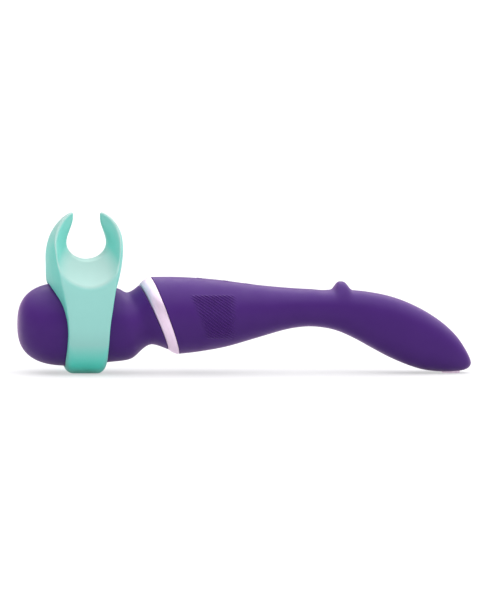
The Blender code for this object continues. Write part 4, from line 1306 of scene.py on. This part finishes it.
def set_view():
    settings = bpy.context.scene.view_settings
    settings.view_transform = "Standard"
    settings.look = "None"


def make_camera():
    """The photograph's camera, given by where it stands round its target and how far it rolls."""
    level = Vector((math.cos(CAMERA_AZIMUTH), math.sin(CAMERA_AZIMUTH), 0.0))
    ahead = Vector((-level.y, level.x, 0.0))
    back = -math.cos(CAMERA_ELEVATION) * ahead + Vector((0.0, 0.0, math.sin(CAMERA_ELEVATION)))
    upright = back.cross(level)
    right = math.cos(CAMERA_ROLL) * level + math.sin(CAMERA_ROLL) * upright
    up = -math.sin(CAMERA_ROLL) * level + math.cos(CAMERA_ROLL) * upright
    data = bpy.data.cameras.new("camera")
    data.lens = CAMERA_LENS
    data.sensor_width = 36.0
    data.clip_end = 200.0
    camera = bpy.data.objects.new("camera", data)
    bpy.context.scene.collection.objects.link(camera)
    matrix = Matrix((right, up, back)).transposed().to_4x4()
    aim = CAMERA_TARGET + right * AIM_SHIFT[0] + up * AIM_SHIFT[1]
    matrix.translation = aim + back * CAMERA_DISTANCE
    camera.matrix_world = matrix
    bpy.context.scene.camera = camera


def floor_finish():
    """A pale lit table: bright where it is looked at, and dimmer in the light that it throws back."""
    made, tree, shader = finish_nodes("pale_floor", SEEN_FLOOR, 0.9)
    fill(tree, shader, {
        "Specular IOR Level": 0.0,
        "Emission Color": (1.0, 1.0, 1.0, 1.0),
        "Emission Strength": FLOOR_GLOW,
    })
    matt = add_node(tree, "BsdfDiffuse", {"Color": (*BOUNCE_FLOOR, 1.0)})
    rays = add_node(tree, "LightPath", {})
    mix = add_node(tree, "MixShader", {
        "Fac": rays.outputs["Is Diffuse Ray"], 1: shader.outputs["BSDF"], 2: matt.outputs["BSDF"]})
    fill(tree, tree.nodes["Material Output"], {"Surface": mix.outputs["Shader"]})
    return made


def make_floor():
    z = CAD_BOX[0].z - FLOOR_GAP
    corners = [(FLOOR_HALF * x, FLOOR_HALF * y, z) for x, y in ((-1, -1), (1, -1), (1, 1), (-1, 1))]
    mesh = bpy.data.meshes.new("floor")
    mesh.from_pydata(corners, [], [(0, 1, 2, 3)])
    floor = bpy.data.objects.new("floor", mesh)
    bpy.context.scene.collection.objects.link(floor)
    mesh.materials.append(floor_finish())


def make_lights():
    overhead = bpy.data.lights.new("overhead", "SUN")
    overhead.energy = LIGHT_ENERGY
    overhead.angle = LIGHT_ANGLE
    lamp = bpy.data.objects.new("overhead", overhead)
    lamp.rotation_euler = LIGHT_LEAN
    bpy.context.scene.collection.objects.link(lamp)

    world = bpy.data.worlds.new("studio")
    bpy.context.scene.world = world
    world.use_nodes = True
    tree = world.node_tree
    source = add_node(tree, "TexCoord", {})
    split = add_node(tree, "SeparateXYZ", {"Vector": source.outputs["Generated"]})
    height = add_node(tree, "Math", {0: split.outputs["Z"]}, operation="ABSOLUTE")
    sky = ramp(tree, height.outputs[0], [(HORIZON, (1.0, 1.0, 1.0)), (DIM_SKY, (SKY_SHARE,) * 3)])
    fill(tree, tree.nodes["Background"], {"Color": sky, "Strength": SKY_STRENGTH})


def build():
    set_view()
    dress_frame_nodes()

    head = make_head_skin()
    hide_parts("head_cover")
    neck = make_neck_skin()
    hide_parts("neck_sleeve")

    ring = make_trim_ring()
    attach(ring, "handle")
    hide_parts("trim_ring")

    skin = make_handle_skin()
    for piece, body, node in fit_controls(skin):
        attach(piece, body)
        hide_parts(node)
    soften_pins()
    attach(skin, "handle")
    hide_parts("handle_cover")

    make_neck_wires()

    fork = make_attachment()
    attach(fork, "attachment")
    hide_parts("fork_attachment")

    seam = SLEEVE_AT([SEAM_S])[0]
    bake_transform(neck)
    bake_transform(head)


build()
make_camera()
make_floor()
make_lights()
